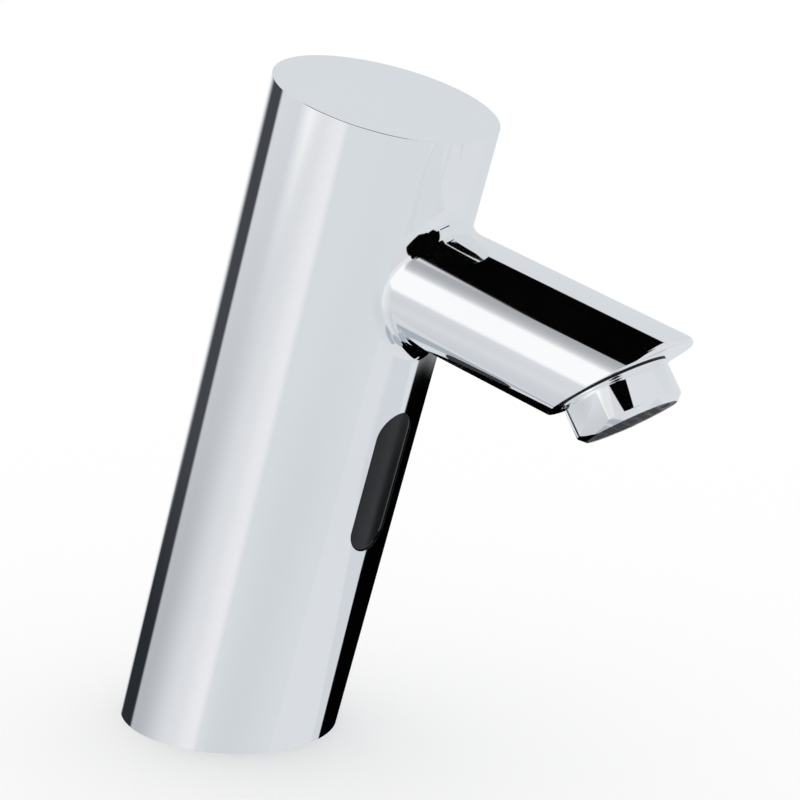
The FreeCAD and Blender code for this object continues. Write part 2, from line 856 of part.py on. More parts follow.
def make_coil_yoke():
    """Steel strap bent round the coil on one side."""
    side = -coil_radius - air_gap - yoke_thickness
    width = yoke_half_width - side
    outer = Part.makeBox(width, 2 * yoke_half_width, yoke_top - bonnet_top)
    outer.translate(vec(side, -yoke_half_width, bonnet_top))
    outer = outer.makeFillet(yoke_thickness + yoke_bend, side_edges(outer, side))
    inner = Part.makeBox(width, 2 * yoke_half_width, coil_length + 2 * slip_gap)
    inner.translate(vec(side + yoke_thickness, -yoke_half_width, bonnet_top + yoke_thickness))
    inner = inner.makeFillet(yoke_bend, side_edges(inner, side + yoke_thickness))
    hole = rod(core_radius + slip_gap, bonnet_top, yoke_top)
    corners = rounded_block(-side, yoke_half_width, flange_corner, bonnet_top, yoke_top)
    return placed(outer.cut([inner, hole]).common(corners), valve_frame)


def make_coil_nut():
    low = max(yoke_top, pole_top) + running_gap
    nut = hexagon(nut_flats, low, low + nut_height)
    return placed(nut.cut(rod(pole_stem_radius + running_gap, low, low + nut_height)), valve_frame)


def make_coil_lead():
    """Two-core lead from the sensor's cover to the coil's terminals."""
    cover_back = housing_back - cover_thickness
    height = window_height + eye_offset
    start = lean_frame.multVec(vec(0, -cover_back, height))
    out = lean_frame.multVec(vec(0, -cover_back + lead_run, height))
    terminal_y = valve_y - coil_radius - terminal_depth / 2
    end = vec(0, terminal_y, coil_top)
    above = vec(0, terminal_y, coil_top + 2 * lead_bend)
    return swept(bent_path([start, out, above, end], (lead_bend, lead_bend)), lead_radius)


# ---- Water tube ----
def tube_foot():
    return duct_z + duct_radius + slip_gap


def lower_ring_height():
    return joint_z - air_gap - tower_wall - ring_section


def tube_path():
    """From the valve's tower up beside the coil, then across into the root of the spout."""
    foot = vec(tube_x, valve_y, tube_foot() + slip_gap)
    leaning = lean_frame.inverse().multVec(vec(tube_x, valve_y, bonnet_top))
    knee = lean_frame.multVec(leaning)
    top = lean_frame.multVec(vec(tube_x, leaning.y, spout_height - bore_radius))
    turn = spout_frame.multVec(vec(0, 0, -tube_turn))
    end = spout_frame.multVec(vec(0, 0, channel_start - slip_gap))
    return bent_path([foot, knee, top, turn, end], tube_bends)


def make_water_tube():
    path = tube_path()
    return swept(path, tube_radius).cut(swept(path, tube_radius - tube_wall))


def make_water_tube_o_rings():
    inner = tube_radius + running_gap
    lower = o_ring(inner, lower_ring_height(), tube_x, valve_y)
    upper = placed(o_ring(inner, upper_ring_height()), spout_frame)
    return Part.Compound([lower, upper])


# ---- Sensor, in the leaning frame ----
def make_sensor_window():
    """Dark lens whose face follows the body's curve, with a flange behind the wall."""
    flange = stadium(flange_width, flange_length, window_height, -body_radius, -flange_back)
    flange = flange.common(rod(gasket_radius, 0, body_length))
    plug_width = window_width - 2 * window_gap
    plug_length = window_length - 2 * window_gap
    plug = stadium(plug_width, plug_length, window_height, -body_radius - air_gap, -flange_back)
    plug = plug.common(rod(body_radius - window_recess, 0, body_length))
    return placed(flange.fuse(plug), lean_frame)


def make_window_gasket():
    outer = stadium(flange_width, flange_length, window_height, -body_radius, -flange_back)
    inner = stadium(window_width, window_length, window_height, -body_radius, -flange_back)
    shell = ring(bore_radius, gasket_radius, 0, body_length)
    return placed(outer.cut(inner).common(shell), lean_frame)


def make_sensor_housing():
    """Open frame behind the window, with a light wall between the two eyes and two screw ears."""
    frame = stadium(flange_width, flange_length, window_height, -flange_back, -housing_back)
    inner_width = flange_width - 2 * housing_wall
    inner_length = flange_length - 2 * housing_wall
    hollow = stadium(inner_width, inner_length, window_height, -flange_back, -housing_back)
    wall = Part.makeBox(flange_width - housing_wall, flange_back - board_front, housing_wall)
    wall.translate(vec(-(flange_width - housing_wall) / 2, -flange_back, window_height - housing_wall / 2))
    ears = []
    for height, inward in zip(sensor_screw_heights(), (1, -1)):
        ear = depth_rod(sensor_boss_radius, flange_back - running_gap, ear_back(), height)
        arm = Part.makeBox(2 * sensor_boss_radius, ear_thickness(), flange_margin + sensor_boss_radius)
        arm_low = height if inward > 0 else height - flange_margin - sensor_boss_radius
        arm.translate(vec(-sensor_boss_radius, running_gap - flange_back, arm_low))
        ears.append(ear.fuse(arm))
    housing = frame.fuse(ears).cut(hollow).fuse(wall)
    holes = [
        depth_rod(screw_radius + slip_gap, flange_back, ear_back(), height)
        for height in sensor_screw_heights()
    ]
    return placed(housing.cut(holes), lean_frame)


def ear_back():
    return flange_back - sensor_ear_thickness


def ear_thickness():
    return sensor_ear_thickness - running_gap


def make_sensor_screws():
    shank_front = body_radius - sensor_screw_cover - air_gap
    screws = []
    for height in sensor_screw_heights():
        shank = depth_rod(screw_radius, shank_front, ear_back(), height)
        head = depth_rod(screw_head_radius, ear_back(), ear_back() - screw_head_height, height)
        screws.append(placed(shank.fuse(head), lean_frame))
    return Part.Compound(screws)


def make_sensor_back_cover():
    """Cap with a spigot that holds the board against the light wall."""
    cover_back = cover_thickness - housing_back
    plate = stadium(flange_width, flange_length, window_height, -housing_back, cover_back)
    spigot_width = flange_width - 2 * housing_wall - 2 * slip_gap
    spigot_length = flange_length - 2 * housing_wall - 2 * slip_gap
    spigot_front = board_front - board_thickness
    spigot = stadium(spigot_width, spigot_length, window_height, -spigot_front, -housing_back)
    hollow = stadium(
        spigot_width - 2 * housing_wall,
        spigot_length - 2 * housing_wall,
        window_height,
        -spigot_front,
        -housing_back,
    )
    return placed(plate.fuse(spigot.cut(hollow)), lean_frame)


def make_sensor_board():
    width = flange_width - 2 * housing_wall - 2 * slip_gap
    length = flange_length - 2 * housing_wall - 2 * slip_gap
    back = board_thickness - board_front
    return placed(stadium(width, length, window_height, -board_front, back), lean_frame)


def eye(height):
    """Domed round diode standing on the board and looking out through the window."""
    barrel_front = emitter_tip - emitter_radius
    half_way = emitter_radius * math.sin(math.radians(45))
    corners = [
        (0, board_front),
        (emitter_radius + air_gap, board_front),
        (emitter_radius + air_gap, board_front + emitter_foot),
        (emitter_radius, board_front + emitter_foot),
        (emitter_radius, barrel_front),
        (half_way, barrel_front + half_way),
        (0, emitter_tip),
    ]
    looking_out = FreeCAD.Placement(vec(0, 0, height), FreeCAD.Rotation(vec(1, 0, 0), 90))
    return placed(placed(turned(corners), looking_out), lean_frame)


def make_ir_emitter():
    return eye(window_height + eye_offset)


def make_ir_receiver():
    return eye(window_height - eye_offset)


# ---- Aerator, in its own frame: Z points out of the outlet ----
def make_aerator_washer():
    low = throat_wall - throat_depth
    inner = throat_radius + slip_gap
    return placed(ring(aerator_radius - slip_gap, inner, low, low + washer_height), aerator_frame)


def make_aerator_housing():
    """Threaded shell with a collar, a barrel with two spanner flats and a chamfered mouth."""
    thread = aerator_radius - running_gap
    relief_radius = aerator_radius - collar_relief
    collar_end = collar_gap + collar_height
    corners = [
        (aerator_neck_radius + slip_gap, running_gap - aerator_thread_depth),
        (thread, running_gap - aerator_thread_depth),
        (thread, collar_gap),
        (collar_radius, collar_gap),
        (collar_radius, collar_end),
        (relief_radius, collar_end),
        (relief_radius, collar_end + collar_relief),
        (aerator_radius, collar_end + collar_relief),
        (aerator_radius, aerator_length - aerator_chamfer),
        (aerator_radius - aerator_chamfer, aerator_length),
        (aerator_bore_radius, aerator_length),
        (aerator_bore_radius, insert_shoulder()),
        (aerator_neck_radius + slip_gap, insert_shoulder()),
    ]
    housing = turned(corners)
    side = 2 * aerator_radius
    for direction in (1, -1):
        flat = Part.makeBox(side, side, side, vec(aerator_flats / 2, -side / 2, flats_low))
        if direction < 0:
            flat.rotate(vec(0, 0, 0), VERTICAL, 180)
        flat.rotate(vec(0, 0, 0), VERTICAL, aerator_flats_turn)
        housing = housing.cut(flat)
    return placed(housing, aerator_frame)


def insert_shoulder():
    return insert_seat / 2


def honeycomb_low():
    return aerator_length - honeycomb_height - honeycomb_setback


def circle_of_rods(radius, circle, count, low, high):
    rods = []
    for k in range(count):
        angle = 2 * math.pi * k / count
        rods.append(rod(radius, low, high, circle * math.cos(angle), circle * math.sin(angle)))
    return rods


def make_aerator_insert():
    """Stepped jet former: a cup for the flow regulator above, jet holes in its floor."""
    low = running_gap - aerator_thread_depth
    floor = insert_seat
    outer = aerator_bore_radius - running_gap
    corners = [
        (0, floor),
        (aerator_neck_radius - insert_wall, floor),
        (aerator_neck_radius - insert_wall, low),
        (aerator_neck_radius, low),
        (aerator_neck_radius, insert_shoulder() + running_gap),
        (outer, insert_shoulder() + running_gap),
        (outer, honeycomb_low()),
        (outer - insert_wall, honeycomb_low()),
        (outer - insert_wall, floor + insert_floor),
        (0, floor + insert_floor),
    ]
    jets = circle_of_rods(jet_radius, jet_circle, jet_count, floor, floor + insert_floor)
    return placed(turned(corners).cut(jets), aerator_frame)


def regulator_seat():
    """Height of the regulator's upper face, which its O-ring lies on."""
    return insert_seat - running_gap - 2 * regulator_step


def make_flow_regulator():
    """Disc on a raised rim in the insert's cup, with ports under its O-ring and a collar inside it."""
    outer = aerator_neck_radius - insert_wall - running_gap
    circle = outer - regulator_step - slip_gap - port_radius
    collar = circle - port_radius - slip_gap
    foot = insert_seat - running_gap
    collar_top = regulator_seat() - 2 * ring_section
    corners = [
        (0, foot - regulator_step),
        (outer - regulator_step, foot - regulator_step),
        (outer - regulator_step, foot),
        (outer, foot),
        (outer, regulator_seat()),
        (collar, regulator_seat()),
        (collar, collar_top),
        (collar - regulator_step, collar_top),
        (collar - regulator_step, regulator_seat()),
        (0, regulator_seat()),
    ]
    ports = circle_of_rods(port_radius, circle, regulator_ports, regulator_seat(), foot - regulator_step)
    return placed(turned(corners).cut(ports), aerator_frame)


def make_regulator_o_ring():
    inner = aerator_neck_radius - insert_wall - 2 * running_gap - 2 * ring_section
    return placed(o_ring(inner, regulator_seat() - ring_section - running_gap), aerator_frame)


def make_aerator_strainer():
    """Domed strainer on the insert's upper rim."""
    low = -aerator_thread_depth
    rim = throat_radius - slip_gap
    radius = (rim * rim + strainer_crown * strainer_crown) / (2 * strainer_crown)
    centre = vec(0, 0, low + radius - strainer_crown)
    shell = Part.makeSphere(radius, centre).cut(Part.makeSphere(radius - strainer_skin, centre))
    return placed(shell.common(rod(rim, low - 2 * strainer_crown, low)), aerator_frame)


def make_outlet_honeycomb():
    """Round screen of hexagonal cells across the mouth of the aerator."""
    low = honeycomb_low() + running_gap
    top = honeycomb_low() + honeycomb_height
    outer = aerator_bore_radius - running_gap
    pitch = honeycomb_cell + honeycomb_web
    rows = int(outer / pitch) + 1
    cells = []
    for i in range(-rows, rows + 1):
        for j in range(-rows, rows + 1):
            x = pitch * math.sqrt(3) / 2 * i
            y = pitch * (j + i / 2)
            if math.hypot(x, y) + honeycomb_cell / math.sqrt(3) + honeycomb_web < outer:
                cells.append(hexagon(honeycomb_cell, low, top, x, y))
    return placed(rod(outer, low, top).cut(cells), aerator_frame)


parts = {
    "tap_body": make_tap_body,
    "base_plate": make_base_plate,
    "base_plate_screws": make_base_plate_screws,
    "base_seal": make_base_seal,
    "cable_grommet": make_cable_grommet,
    "inlet_o_ring": make_inlet_o_ring,
    "inlet_filter": make_inlet_filter,
    "check_valve_body": make_check_valve_body,
    "check_valve_o_ring": make_check_valve_o_ring,
    "check_valve_poppet": make_check_valve_poppet,
    "check_valve_spring": make_check_valve_spring,
    "valve_body": make_valve_body,
    "valve_screws": make_valve_screws,
    "valve_diaphragm": make_valve_diaphragm,
    "diaphragm_insert": make_diaphragm_insert,
    "valve_bonnet": make_valve_bonnet,
    "bonnet_screws": make_bonnet_screws,
    "core_tube": make_core_tube,
    "pole_piece": make_pole_piece,
    "armature": make_armature,
    "armature_seal": make_armature_seal,
    "armature_spring": make_armature_spring,
    "coil_bobbin": make_coil_bobbin,
    "coil_winding": make_coil_winding,
    "coil_yoke": make_coil_yoke,
    "coil_nut": make_coil_nut,
    "coil_lead": make_coil_lead,
    "water_tube": make_water_tube,
    "water_tube_o_rings": make_water_tube_o_rings,
    "sensor_window": make_sensor_window,
    "window_gasket": make_window_gasket,
    "sensor_housing": make_sensor_housing,
    "sensor_back_cover": make_sensor_back_cover,
    "sensor_board": make_sensor_board,
    "ir_emitter": make_ir_emitter,
    "ir_receiver": make_ir_receiver,
    "sensor_screws": make_sensor_screws,
    "aerator_washer": make_aerator_washer,
    "aerator_housing": make_aerator_housing,
    "aerator_insert": make_aerator_insert,
    "flow_regulator": make_flow_regulator,
    "regulator_o_ring": make_regulator_o_ring,
    "aerator_strainer": make_aerator_strainer,
    "outlet_honeycomb": make_outlet_honeycomb,
}

os.makedirs("parts", exist_ok=True)
for name, make in parts.items():
    shape = make()
    shape.exportStep("parts/" + name + ".step")
    print(name, len(shape.Solids), shape.isValid(), round(shape.Volume, 1))
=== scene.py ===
import json
import math

import bpy
from mathutils import Euler, Matrix, Vector


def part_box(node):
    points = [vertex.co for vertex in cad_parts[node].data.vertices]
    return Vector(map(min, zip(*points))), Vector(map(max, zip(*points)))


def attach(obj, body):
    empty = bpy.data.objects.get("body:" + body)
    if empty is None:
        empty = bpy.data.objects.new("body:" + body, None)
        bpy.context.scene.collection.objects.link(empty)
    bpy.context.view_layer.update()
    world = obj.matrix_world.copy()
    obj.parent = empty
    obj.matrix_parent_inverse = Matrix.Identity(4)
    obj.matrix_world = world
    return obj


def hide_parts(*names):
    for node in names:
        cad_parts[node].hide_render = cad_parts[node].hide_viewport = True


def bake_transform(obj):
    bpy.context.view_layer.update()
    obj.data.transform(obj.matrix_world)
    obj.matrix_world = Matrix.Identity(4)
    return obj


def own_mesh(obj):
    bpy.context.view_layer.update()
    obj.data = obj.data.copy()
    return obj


bl_info = {
    "name": "Sensor tap",
    "version": (1, 0, 0),
    "blender": (4, 5, 0),
    "location": "3D View > Sidebar > Sensor tap",
    "description": "Dresses the sensor tap: casting, window, aerator, springs, diaphragm, finishes, studio",
    "category": "Object",
}

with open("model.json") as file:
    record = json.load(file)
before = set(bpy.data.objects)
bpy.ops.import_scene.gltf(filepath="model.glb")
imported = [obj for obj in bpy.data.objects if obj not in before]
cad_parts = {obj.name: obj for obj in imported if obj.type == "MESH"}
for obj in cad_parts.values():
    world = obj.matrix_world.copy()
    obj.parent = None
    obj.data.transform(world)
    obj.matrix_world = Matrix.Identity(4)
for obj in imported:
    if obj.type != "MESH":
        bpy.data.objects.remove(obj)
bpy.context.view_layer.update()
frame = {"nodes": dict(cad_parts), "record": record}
BODY_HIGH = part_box("tap_body")[1]
HOME_BODY = "tap"

MM = 0.001
CLOSE = 5e-6  # metres: a point this near to a surface lies on it
FACING = 0.95  # cosine: a face this nearly parallel to a surface belongs to it
NODE_WELD = 1e-6  # metres: points of a solid's mesh this near to each other are one
NEW_WELD = 1e-7  # metres: and points of a mesh made here
TINY_ANGLE = 1e-6  # radians: two directions this near to each other are one
PAST = 1 * MM  # how far a cutter reaches past what it cuts
WINDOW_BACK = 4 * MM  # from the bore's wall to the window's back
CASTING_EDGE = 28  # degrees: a sharper edge of the casting or window stays sharp
PIECE_EDGE = 30  # degrees: and of any other piece
TIP_FROM = 0.55  # height of the spout's radial direction where the lip starts to grow
TIP_TO = 0.97  # and where it is largest
WEB_STEPS = 8  # rings of faces across the diaphragm's web
WEB_SECTORS = 12  # pieces of the web
WEB_SPIN = 96  # faces round the whole web


def length(name, description, default):
    return bpy.props.FloatProperty(
        name=name, description=description, default=default, min=0.0, unit="LENGTH", precision=5
    )


def angle(name, description, degrees):
    return bpy.props.FloatProperty(
        name=name, description=description, default=math.radians(degrees), unit="ROTATION"
    )


def colour(name, description, default):
    return bpy.props.FloatVectorProperty(
        name=name, description=description, default=default, size=3, min=0.0, max=1.0, subtype="COLOR"
    )


def factor(name, description, default):
    return bpy.props.FloatProperty(
        name=name, description=description, default=default, min=0.0, max=1.0, subtype="FACTOR"
    )


class TapSizes(bpy.types.PropertyGroup):
    """Sizes of the pieces that show."""

    column_radius: length("Column radius", "Outside of the column", BODY_HIGH.x)
    column_length: length("Column length", "Deck to top face along the column", 161.7 * MM)
    column_lean: angle("Column lean", "Forward of upright", 14.5)
    top_edge: length("Top edge", "Radius of the top face's edge", 0.2 * MM)
    bore_radius: length("Bore radius", "Inside of the column", 22.3 * MM)
    bore_length: length("Bore length", "Deck to the bore's end along the column", 157.7 * MM)
    plate_radius: length("Plate radius", "Recess for the base plate", 20.6 * MM)
    plate_depth: length("Plate depth", "Depth of that recess", 8.0 * MM)
    seal_inner: length("Seal groove inside", "Inner radius of the groove", 22.3 * MM)
    seal_outer: length("Seal groove outside", "Outer radius of the groove", 24.4 * MM)
    seal_depth: length("Seal groove depth", "Depth of the groove", 1.3 * MM)
    spout_height: length("Spout height", "Along the column to the spout's axis", 127.0 * MM)
    spout_radius: length("Spout radius", "Outside of the spout", 14.1 * MM)
    spout_droop: angle("Spout droop", "Below level", 12.9)
    spout_reach: length("Spout reach", "Column axis to outlet face", 77.5 * MM)
    root_radius: length("Root radius", "Blend between column and spout", 5.0 * MM)
    outlet_tilt: angle("Outlet tilt", "Outlet face from level", 35.0)
    lip_radius: length("Lip radius", "Edge of the outlet face at the spout's tip", 1.0 * MM)
    lip_low: length("Lip radius below", "The same edge at the sides and below", 0.2 * MM)
    socket_radius: length("Socket radius", "Hole for the aerator", 12.1 * MM)
    socket_depth: length("Socket depth", "Depth of that hole", 6.5 * MM)
    throat_radius: length("Throat radius", "Water way above the aerator", 9.2 * MM)
    throat_depth: length("Throat depth", "Depth of the water way", 9.7 * MM)
    aerator_setback: length("Aerator setback", "Behind the spout's axis", 2.4 * MM)
    thread_radius: length("Thread radius", "Aerator's outside within the socket", 11.95 * MM)
    thread_length: length("Thread length", "Outlet face to the thread's far end", 4.95 * MM)
    insert_radius: length("Insert radius", "Aerator's inside above its shoulder", 9.7 * MM)
    shoulder: length("Shoulder", "Outlet face to the shoulder inside", 0.5 * MM)
    collar_radius: length("Collar radius", "Aerator's collar", 12.4 * MM)
    collar_gap: length("Collar gap", "Outlet face to the collar", 0.3 * MM)
    collar_end: length("Collar end", "Outlet face to the collar's end", 0.85 * MM)
    relief_radius: length("Relief radius", "Groove below the collar", 11.6 * MM)
    relief_end: length("Relief end", "Outlet face to the groove's end", 1.3 * MM)
    barrel_radius: length("Barrel radius", "Aerator's barrel", 12.0 * MM)
    barrel_end: length("Barrel end", "Outlet face to the chamfer", 7.8 * MM)
    mouth_radius: length("Mouth radius", "Small end of the chamfer", 10.6 * MM)
    mouth_bore: length("Mouth bore", "Aerator's inside at its mouth", 10.35 * MM)
    mouth_end: length("Mouth end", "Outlet face to the mouth", 9.2 * MM)
    aerator_edge: length("Aerator edge", "Radius of the aerator's edges", 0.12 * MM)
    flat_from: length("Flats", "Aerator's axis to each spanner flat", 11.0 * MM)
    flat_turn: angle("Flats' turn", "Spanner flats about the aerator's axis", 8.6)
    window_width: length("Window width", "Cut-out across", 12.0 * MM)
    window_length: length("Window length", "Cut-out along the column", 36.0 * MM)
    window_height: length("Window height", "Centre along the column", 77.7 * MM)
    window_recess: length("Window recess", "Face of the window behind the chrome", 0.35 * MM)
    window_gap: length("Window gap", "Dark line round the window", 0.3 * MM)
    hub_radius: length("Diaphragm hub", "Radius of the diaphragm's hub", 5.5 * MM)
    hub_bore: length("Hub bore", "Radius of the hub's hole", 1.85 * MM)
    hub_rise: length("Hub rise", "Hub above and below the web", 0.45 * MM)
    web_thickness: length("Web thickness", "Diaphragm between hub and bead", 0.6 * MM)
    chamber_radius: length("Chamber radius", "Where the web is free to bend", 9.0 * MM)
    bead_radius: length("Bead radius", "Inside of the diaphragm's bead", 9.55 * MM)


class TapFinish(bpy.types.PropertyGroup):
    """Colours and polish."""

    chrome: colour("Chrome", "Plated surfaces", (0.955, 0.962, 0.97))
    chrome_roughness: factor("Chrome roughness", "0 is a mirror", 0.035)
    window: colour("Window", "Infrared window", (0.008, 0.009, 0.011))
    rubber: colour("Rubber", "Seals and rings", (0.018, 0.018, 0.019))
    screen: colour("Screen", "Outlet screen", (0.09, 0.095, 0.1))


class TapStudio(bpy.types.PropertyGroup):
    """Camera, floor and surroundings."""

    camera_place: bpy.props.FloatVectorProperty(
        name="Camera place",
        description="Where the camera stands",
        default=(-0.44141, -0.39311, 0.23381),
        subtype="TRANSLATION",
        unit="LENGTH",
    )
    camera_turn: bpy.props.FloatVectorProperty(
        name="Camera turn",
        description="Camera rotation",
        default=[math.radians(a) for a in (75.490, -2.813, -51.286)],
        subtype="EULER",
        unit="ROTATION",
    )
    lens: bpy.props.FloatProperty(name="Lens", description="Focal length", default=115.27, unit="CAMERA")
    floor_size: length("Floor size", "Side of the floor", 6.0)
    floor_colour: colour("Floor", "Pale floor", (0.8, 0.8, 0.8))


# ---- Work in the scene ----
def settings(name):
    return getattr(bpy.context.scene, name)


def select_only(*objects):
    if bpy.context.mode != "OBJECT":
        bpy.ops.object.mode_set(mode="OBJECT")
    bpy.ops.object.select_all(action="DESELECT")
    for obj in objects:
        obj.select_set(True)
    bpy.context.view_layer.objects.active = objects[0]


def fixed(obj, place, name):
    """Puts a new object's place into its mesh and leaves the object at the origin."""
    obj.data.transform(place @ obj.matrix_world)
    obj.matrix_world = Matrix.Identity(4)
    obj.name = name
    obj.data.name = name
    return obj


def turn_x(radians):
    return Matrix.Rotation(radians, 4, "X")


def rod(name, radius, low, high, place, sides=128):
    bpy.ops.object.select_all(action="DESELECT")
    bpy.ops.mesh.primitive_cylinder_add(
        vertices=sides, radius=radius, depth=high - low, location=(0, 0, (low + high) / 2)
    )
    return fixed(bpy.context.object, place, name)


def box(name, size, centre, place):
    bpy.ops.object.select_all(action="DESELECT")
    bpy.ops.mesh.primitive_cube_add(size=1, location=centre, scale=size)
    return fixed(bpy.context.object, place, name)


def combine(obj, other, operation):
    """Boolean with another closed piece, which is used up."""
    modifier = obj.modifiers.new(operation.lower(), "BOOLEAN")
    modifier.operation = operation
    modifier.solver = "EXACT"
    modifier.object = other
    select_only(obj)
    bpy.ops.object.modifier_apply(modifier=modifier.name)
    bpy.data.objects.remove(other)
    return obj


def cut_away(obj, *others):
    for other in others:
        combine(obj, other, "DIFFERENCE")
    return obj


def linked(name, mesh):
    """A new object in the scene."""
    obj = bpy.data.objects.new(name, mesh)
    bpy.context.collection.objects.link(obj)
    return obj


def edit_all(obj):
    """Edit mode with everything selected."""
    select_only(obj)
    bpy.ops.object.mode_set(mode="EDIT")
    bpy.ops.mesh.select_all(action="SELECT")


def edges_where(obj, test):
    """Edit mode with only the edges selected whose two ends pass a test."""
    select_only(obj)
    bpy.ops.object.mode_set(mode="EDIT")
    bpy.ops.mesh.select_all(action="DESELECT")
    bpy.ops.mesh.select_mode(type="EDGE")
    bpy.ops.object.mode_set(mode="OBJECT")
    points = obj.data.vertices
    for edge in obj.data.edges:
        edge.select = all(test(points[i].co) for i in edge.vertices)
    bpy.ops.object.mode_set(mode="EDIT")


def keep_below(obj, point, normal):
    """Cuts a closed piece at a plane and closes the cut."""
    edit_all(obj)
    bpy.ops.mesh.bisect(plane_co=point, plane_no=normal, use_fill=True, clear_outer=True)
    bpy.ops.object.mode_set(mode="OBJECT")


def smooth(obj, degrees=PIECE_EDGE):
    select_only(obj)
    bpy.ops.object.shade_smooth_by_angle(angle=math.radians(degrees))


def merged(obj, distance, outward=False):
    """Makes points that lie on each other one and, where asked, turns every face outward."""
    edit_all(obj)
    bpy.ops.mesh.remove_doubles(threshold=distance)
    if outward:
        bpy.ops.mesh.normals_make_consistent(inside=False)
    bpy.ops.object.mode_set(mode="OBJECT")


def spun(name, profile, place, steps=160):
    """Solid of revolution from a closed (radius, height) profile, spun about the Z axis."""
    mesh = bpy.data.meshes.new(name)
    count = len(profile)
    mesh.from_pydata([(r, 0, z) for r, z in profile], [(i, (i + 1) % count) for i in range(count)], [])
    obj = linked(name, mesh)
    edit_all(obj)
    bpy.ops.mesh.spin(steps=steps, angle=2 * math.pi, center=(0, 0, 0), axis=(0, 0, 1))
    bpy.ops.object.mode_set(mode="OBJECT")
    merged(obj, NEW_WELD, outward=True)
    return fixed(obj, place, name)


def rounded_profile(corners, radius, steps=3):
    """Closed profile with each corner replaced by a small arc."""
    points = []
    count = len(corners)
    for i in range(count):
        before, here, after = (Vector(corners[(i + k) % count]) for k in (-1, 0, 1))
        to_before = before - here
        to_after = after - here
        reach = min(radius, to_before.length / 3, to_after.length / 3)
        start = here + to_before.normalized() * reach
        end = here + to_after.normalized() * reach
        for k in range(steps + 1):
            t = k / steps
            points.append(tuple((1 - t) ** 2 * start + 2 * t * (1 - t) * here + t * t * end))
    return points


def dressed(obj, material, slot, *nodes, body=HOME_BODY):
    """Gives a finished piece its material and its body, and hides the nodes that it stands for."""
    obj.data.materials.clear()
    obj.data.materials.append(material)
    if body:
        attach(obj, body)
    if nodes:
        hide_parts(*nodes)


# ---- Frames of the tap ----
def column_frame():
    return turn_x(settings("tap_sizes").column_lean)


def spout_frame():
    sizes = settings("tap_sizes")
    root = column_frame() @ Vector((0, 0, sizes.spout_height))
    return Matrix.Translation(root) @ turn_x(math.pi / 2 + sizes.spout_droop)


def outlet_frame():
    sizes = settings("tap_sizes")
    centre = spout_frame() @ Vector((0, 0, sizes.spout_reach))
    return Matrix.Translation(centre) @ turn_x(math.pi - sizes.outlet_tilt)


def aerator_frame():
    return outlet_frame() @ Matrix.Translation((0, -settings("tap_sizes").aerator_setback, 0))


def axis_of(place):
    return (place.to_3x3() @ Vector((0, 0, 1))).normalized()


def across(vector, axis):
    """The part of a vector that is square to an axis."""
    return vector - vector.dot(axis) * axis


# ---- Node tools ----
def nodes_of(tree):
    tree.nodes.clear()
    return tree.nodes, tree.links


def feed(links, socket, value):
    """Sets a socket to a number, or links another node's socket to it."""
    if isinstance(value, (int, float)):
        socket.default_value = value
    else:
        links.new(value, socket)


def math_node(nodes, links, operation, *values):
    node = nodes.new("ShaderNodeMath")
    node.operation = operation
    for socket, value in zip(node.inputs, values):
        feed(links, socket, value)
    return node.outputs[0]


def smooth_step(nodes, links, value, low, high):
    """0 below one value, 1 above another and smooth between."""
    node = nodes.new("ShaderNodeMapRange")
    node.interpolation_type = "SMOOTHSTEP"
    for key, item in (("Value", value), ("From Min", low), ("From Max", high)):
        feed(links, node.inputs[key], item)
    return node.outputs["Result"]


def new_group(name, inputs, outputs):
    group = bpy.data.node_groups.new(name, "ShaderNodeTree")
    for label, default in inputs:
        socket = group.interface.new_socket(label, in_out="INPUT", socket_type="NodeSocketFloat")
        socket.default_value = default
    for label, kind in outputs:
        group.interface.new_socket(label, in_out="OUTPUT", socket_type=kind)
    start = group.nodes.new("NodeGroupInput")
    end = group.nodes.new("NodeGroupOutput")
    return group, start, end


def panel_group():
    """Mask of a studio panel: 1 inside a four-sided patch of a two-way map, with soft edges."""
    name = "studio_panel"
    if name in bpy.data.node_groups:
        return bpy.data.node_groups[name]
    places = ("Across", "Up", "Left", "Right", "Bottom", "Top", "Slope")
    labels = (*places, "Soft left", "Soft right", "Soft rim")
    group, start, end = new_group(name, [(label, 0.0) for label in labels], [("Mask", "NodeSocketFloat")])
    nodes, links = group.nodes, group.links
    given = start.outputs

    def beyond(value, place, softness):
        low = math_node(nodes, links, "SUBTRACT", place, softness)
        high = math_node(nodes, links, "ADD", place, softness)
        return smooth_step(nodes, links, value, low, high)

    middle = math_node(nodes, links, "ADD", given["Left"], given["Right"])
    middle = math_node(nodes, links, "MULTIPLY", middle, 0.5)
    aside = math_node(nodes, links, "SUBTRACT", given["Across"], middle)
    rise = math_node(nodes, links, "MULTIPLY", aside, given["Slope"])
    level = math_node(nodes, links, "SUBTRACT", given["Up"], rise)
    after_left = beyond(given["Across"], given["Left"], given["Soft left"])
    after_right = beyond(given["Across"], given["Right"], given["Soft right"])
    above_bottom = beyond(given["Up"], given["Bottom"], given["Soft rim"])
    above_top = beyond(level, given["Top"], given["Soft rim"])
    wide = math_node(nodes, links, "SUBTRACT", after_left, after_right)
    below_top = math_node(nodes, links, "SUBTRACT", 1.0, above_top)
    tall = math_node(nodes, links, "MULTIPLY", above_bottom, below_top)
    mask = math_node(nodes, links, "MULTIPLY", wide, tall)
    links.new(math_node(nodes, links, "MAXIMUM", mask, 0.0), end.inputs["Mask"])
    return group


CLOUD_DETAIL = 4.0  # octaves of the marks' noise
CLOUD_RANGE = (0.3, 0.7)  # where most of that noise lies


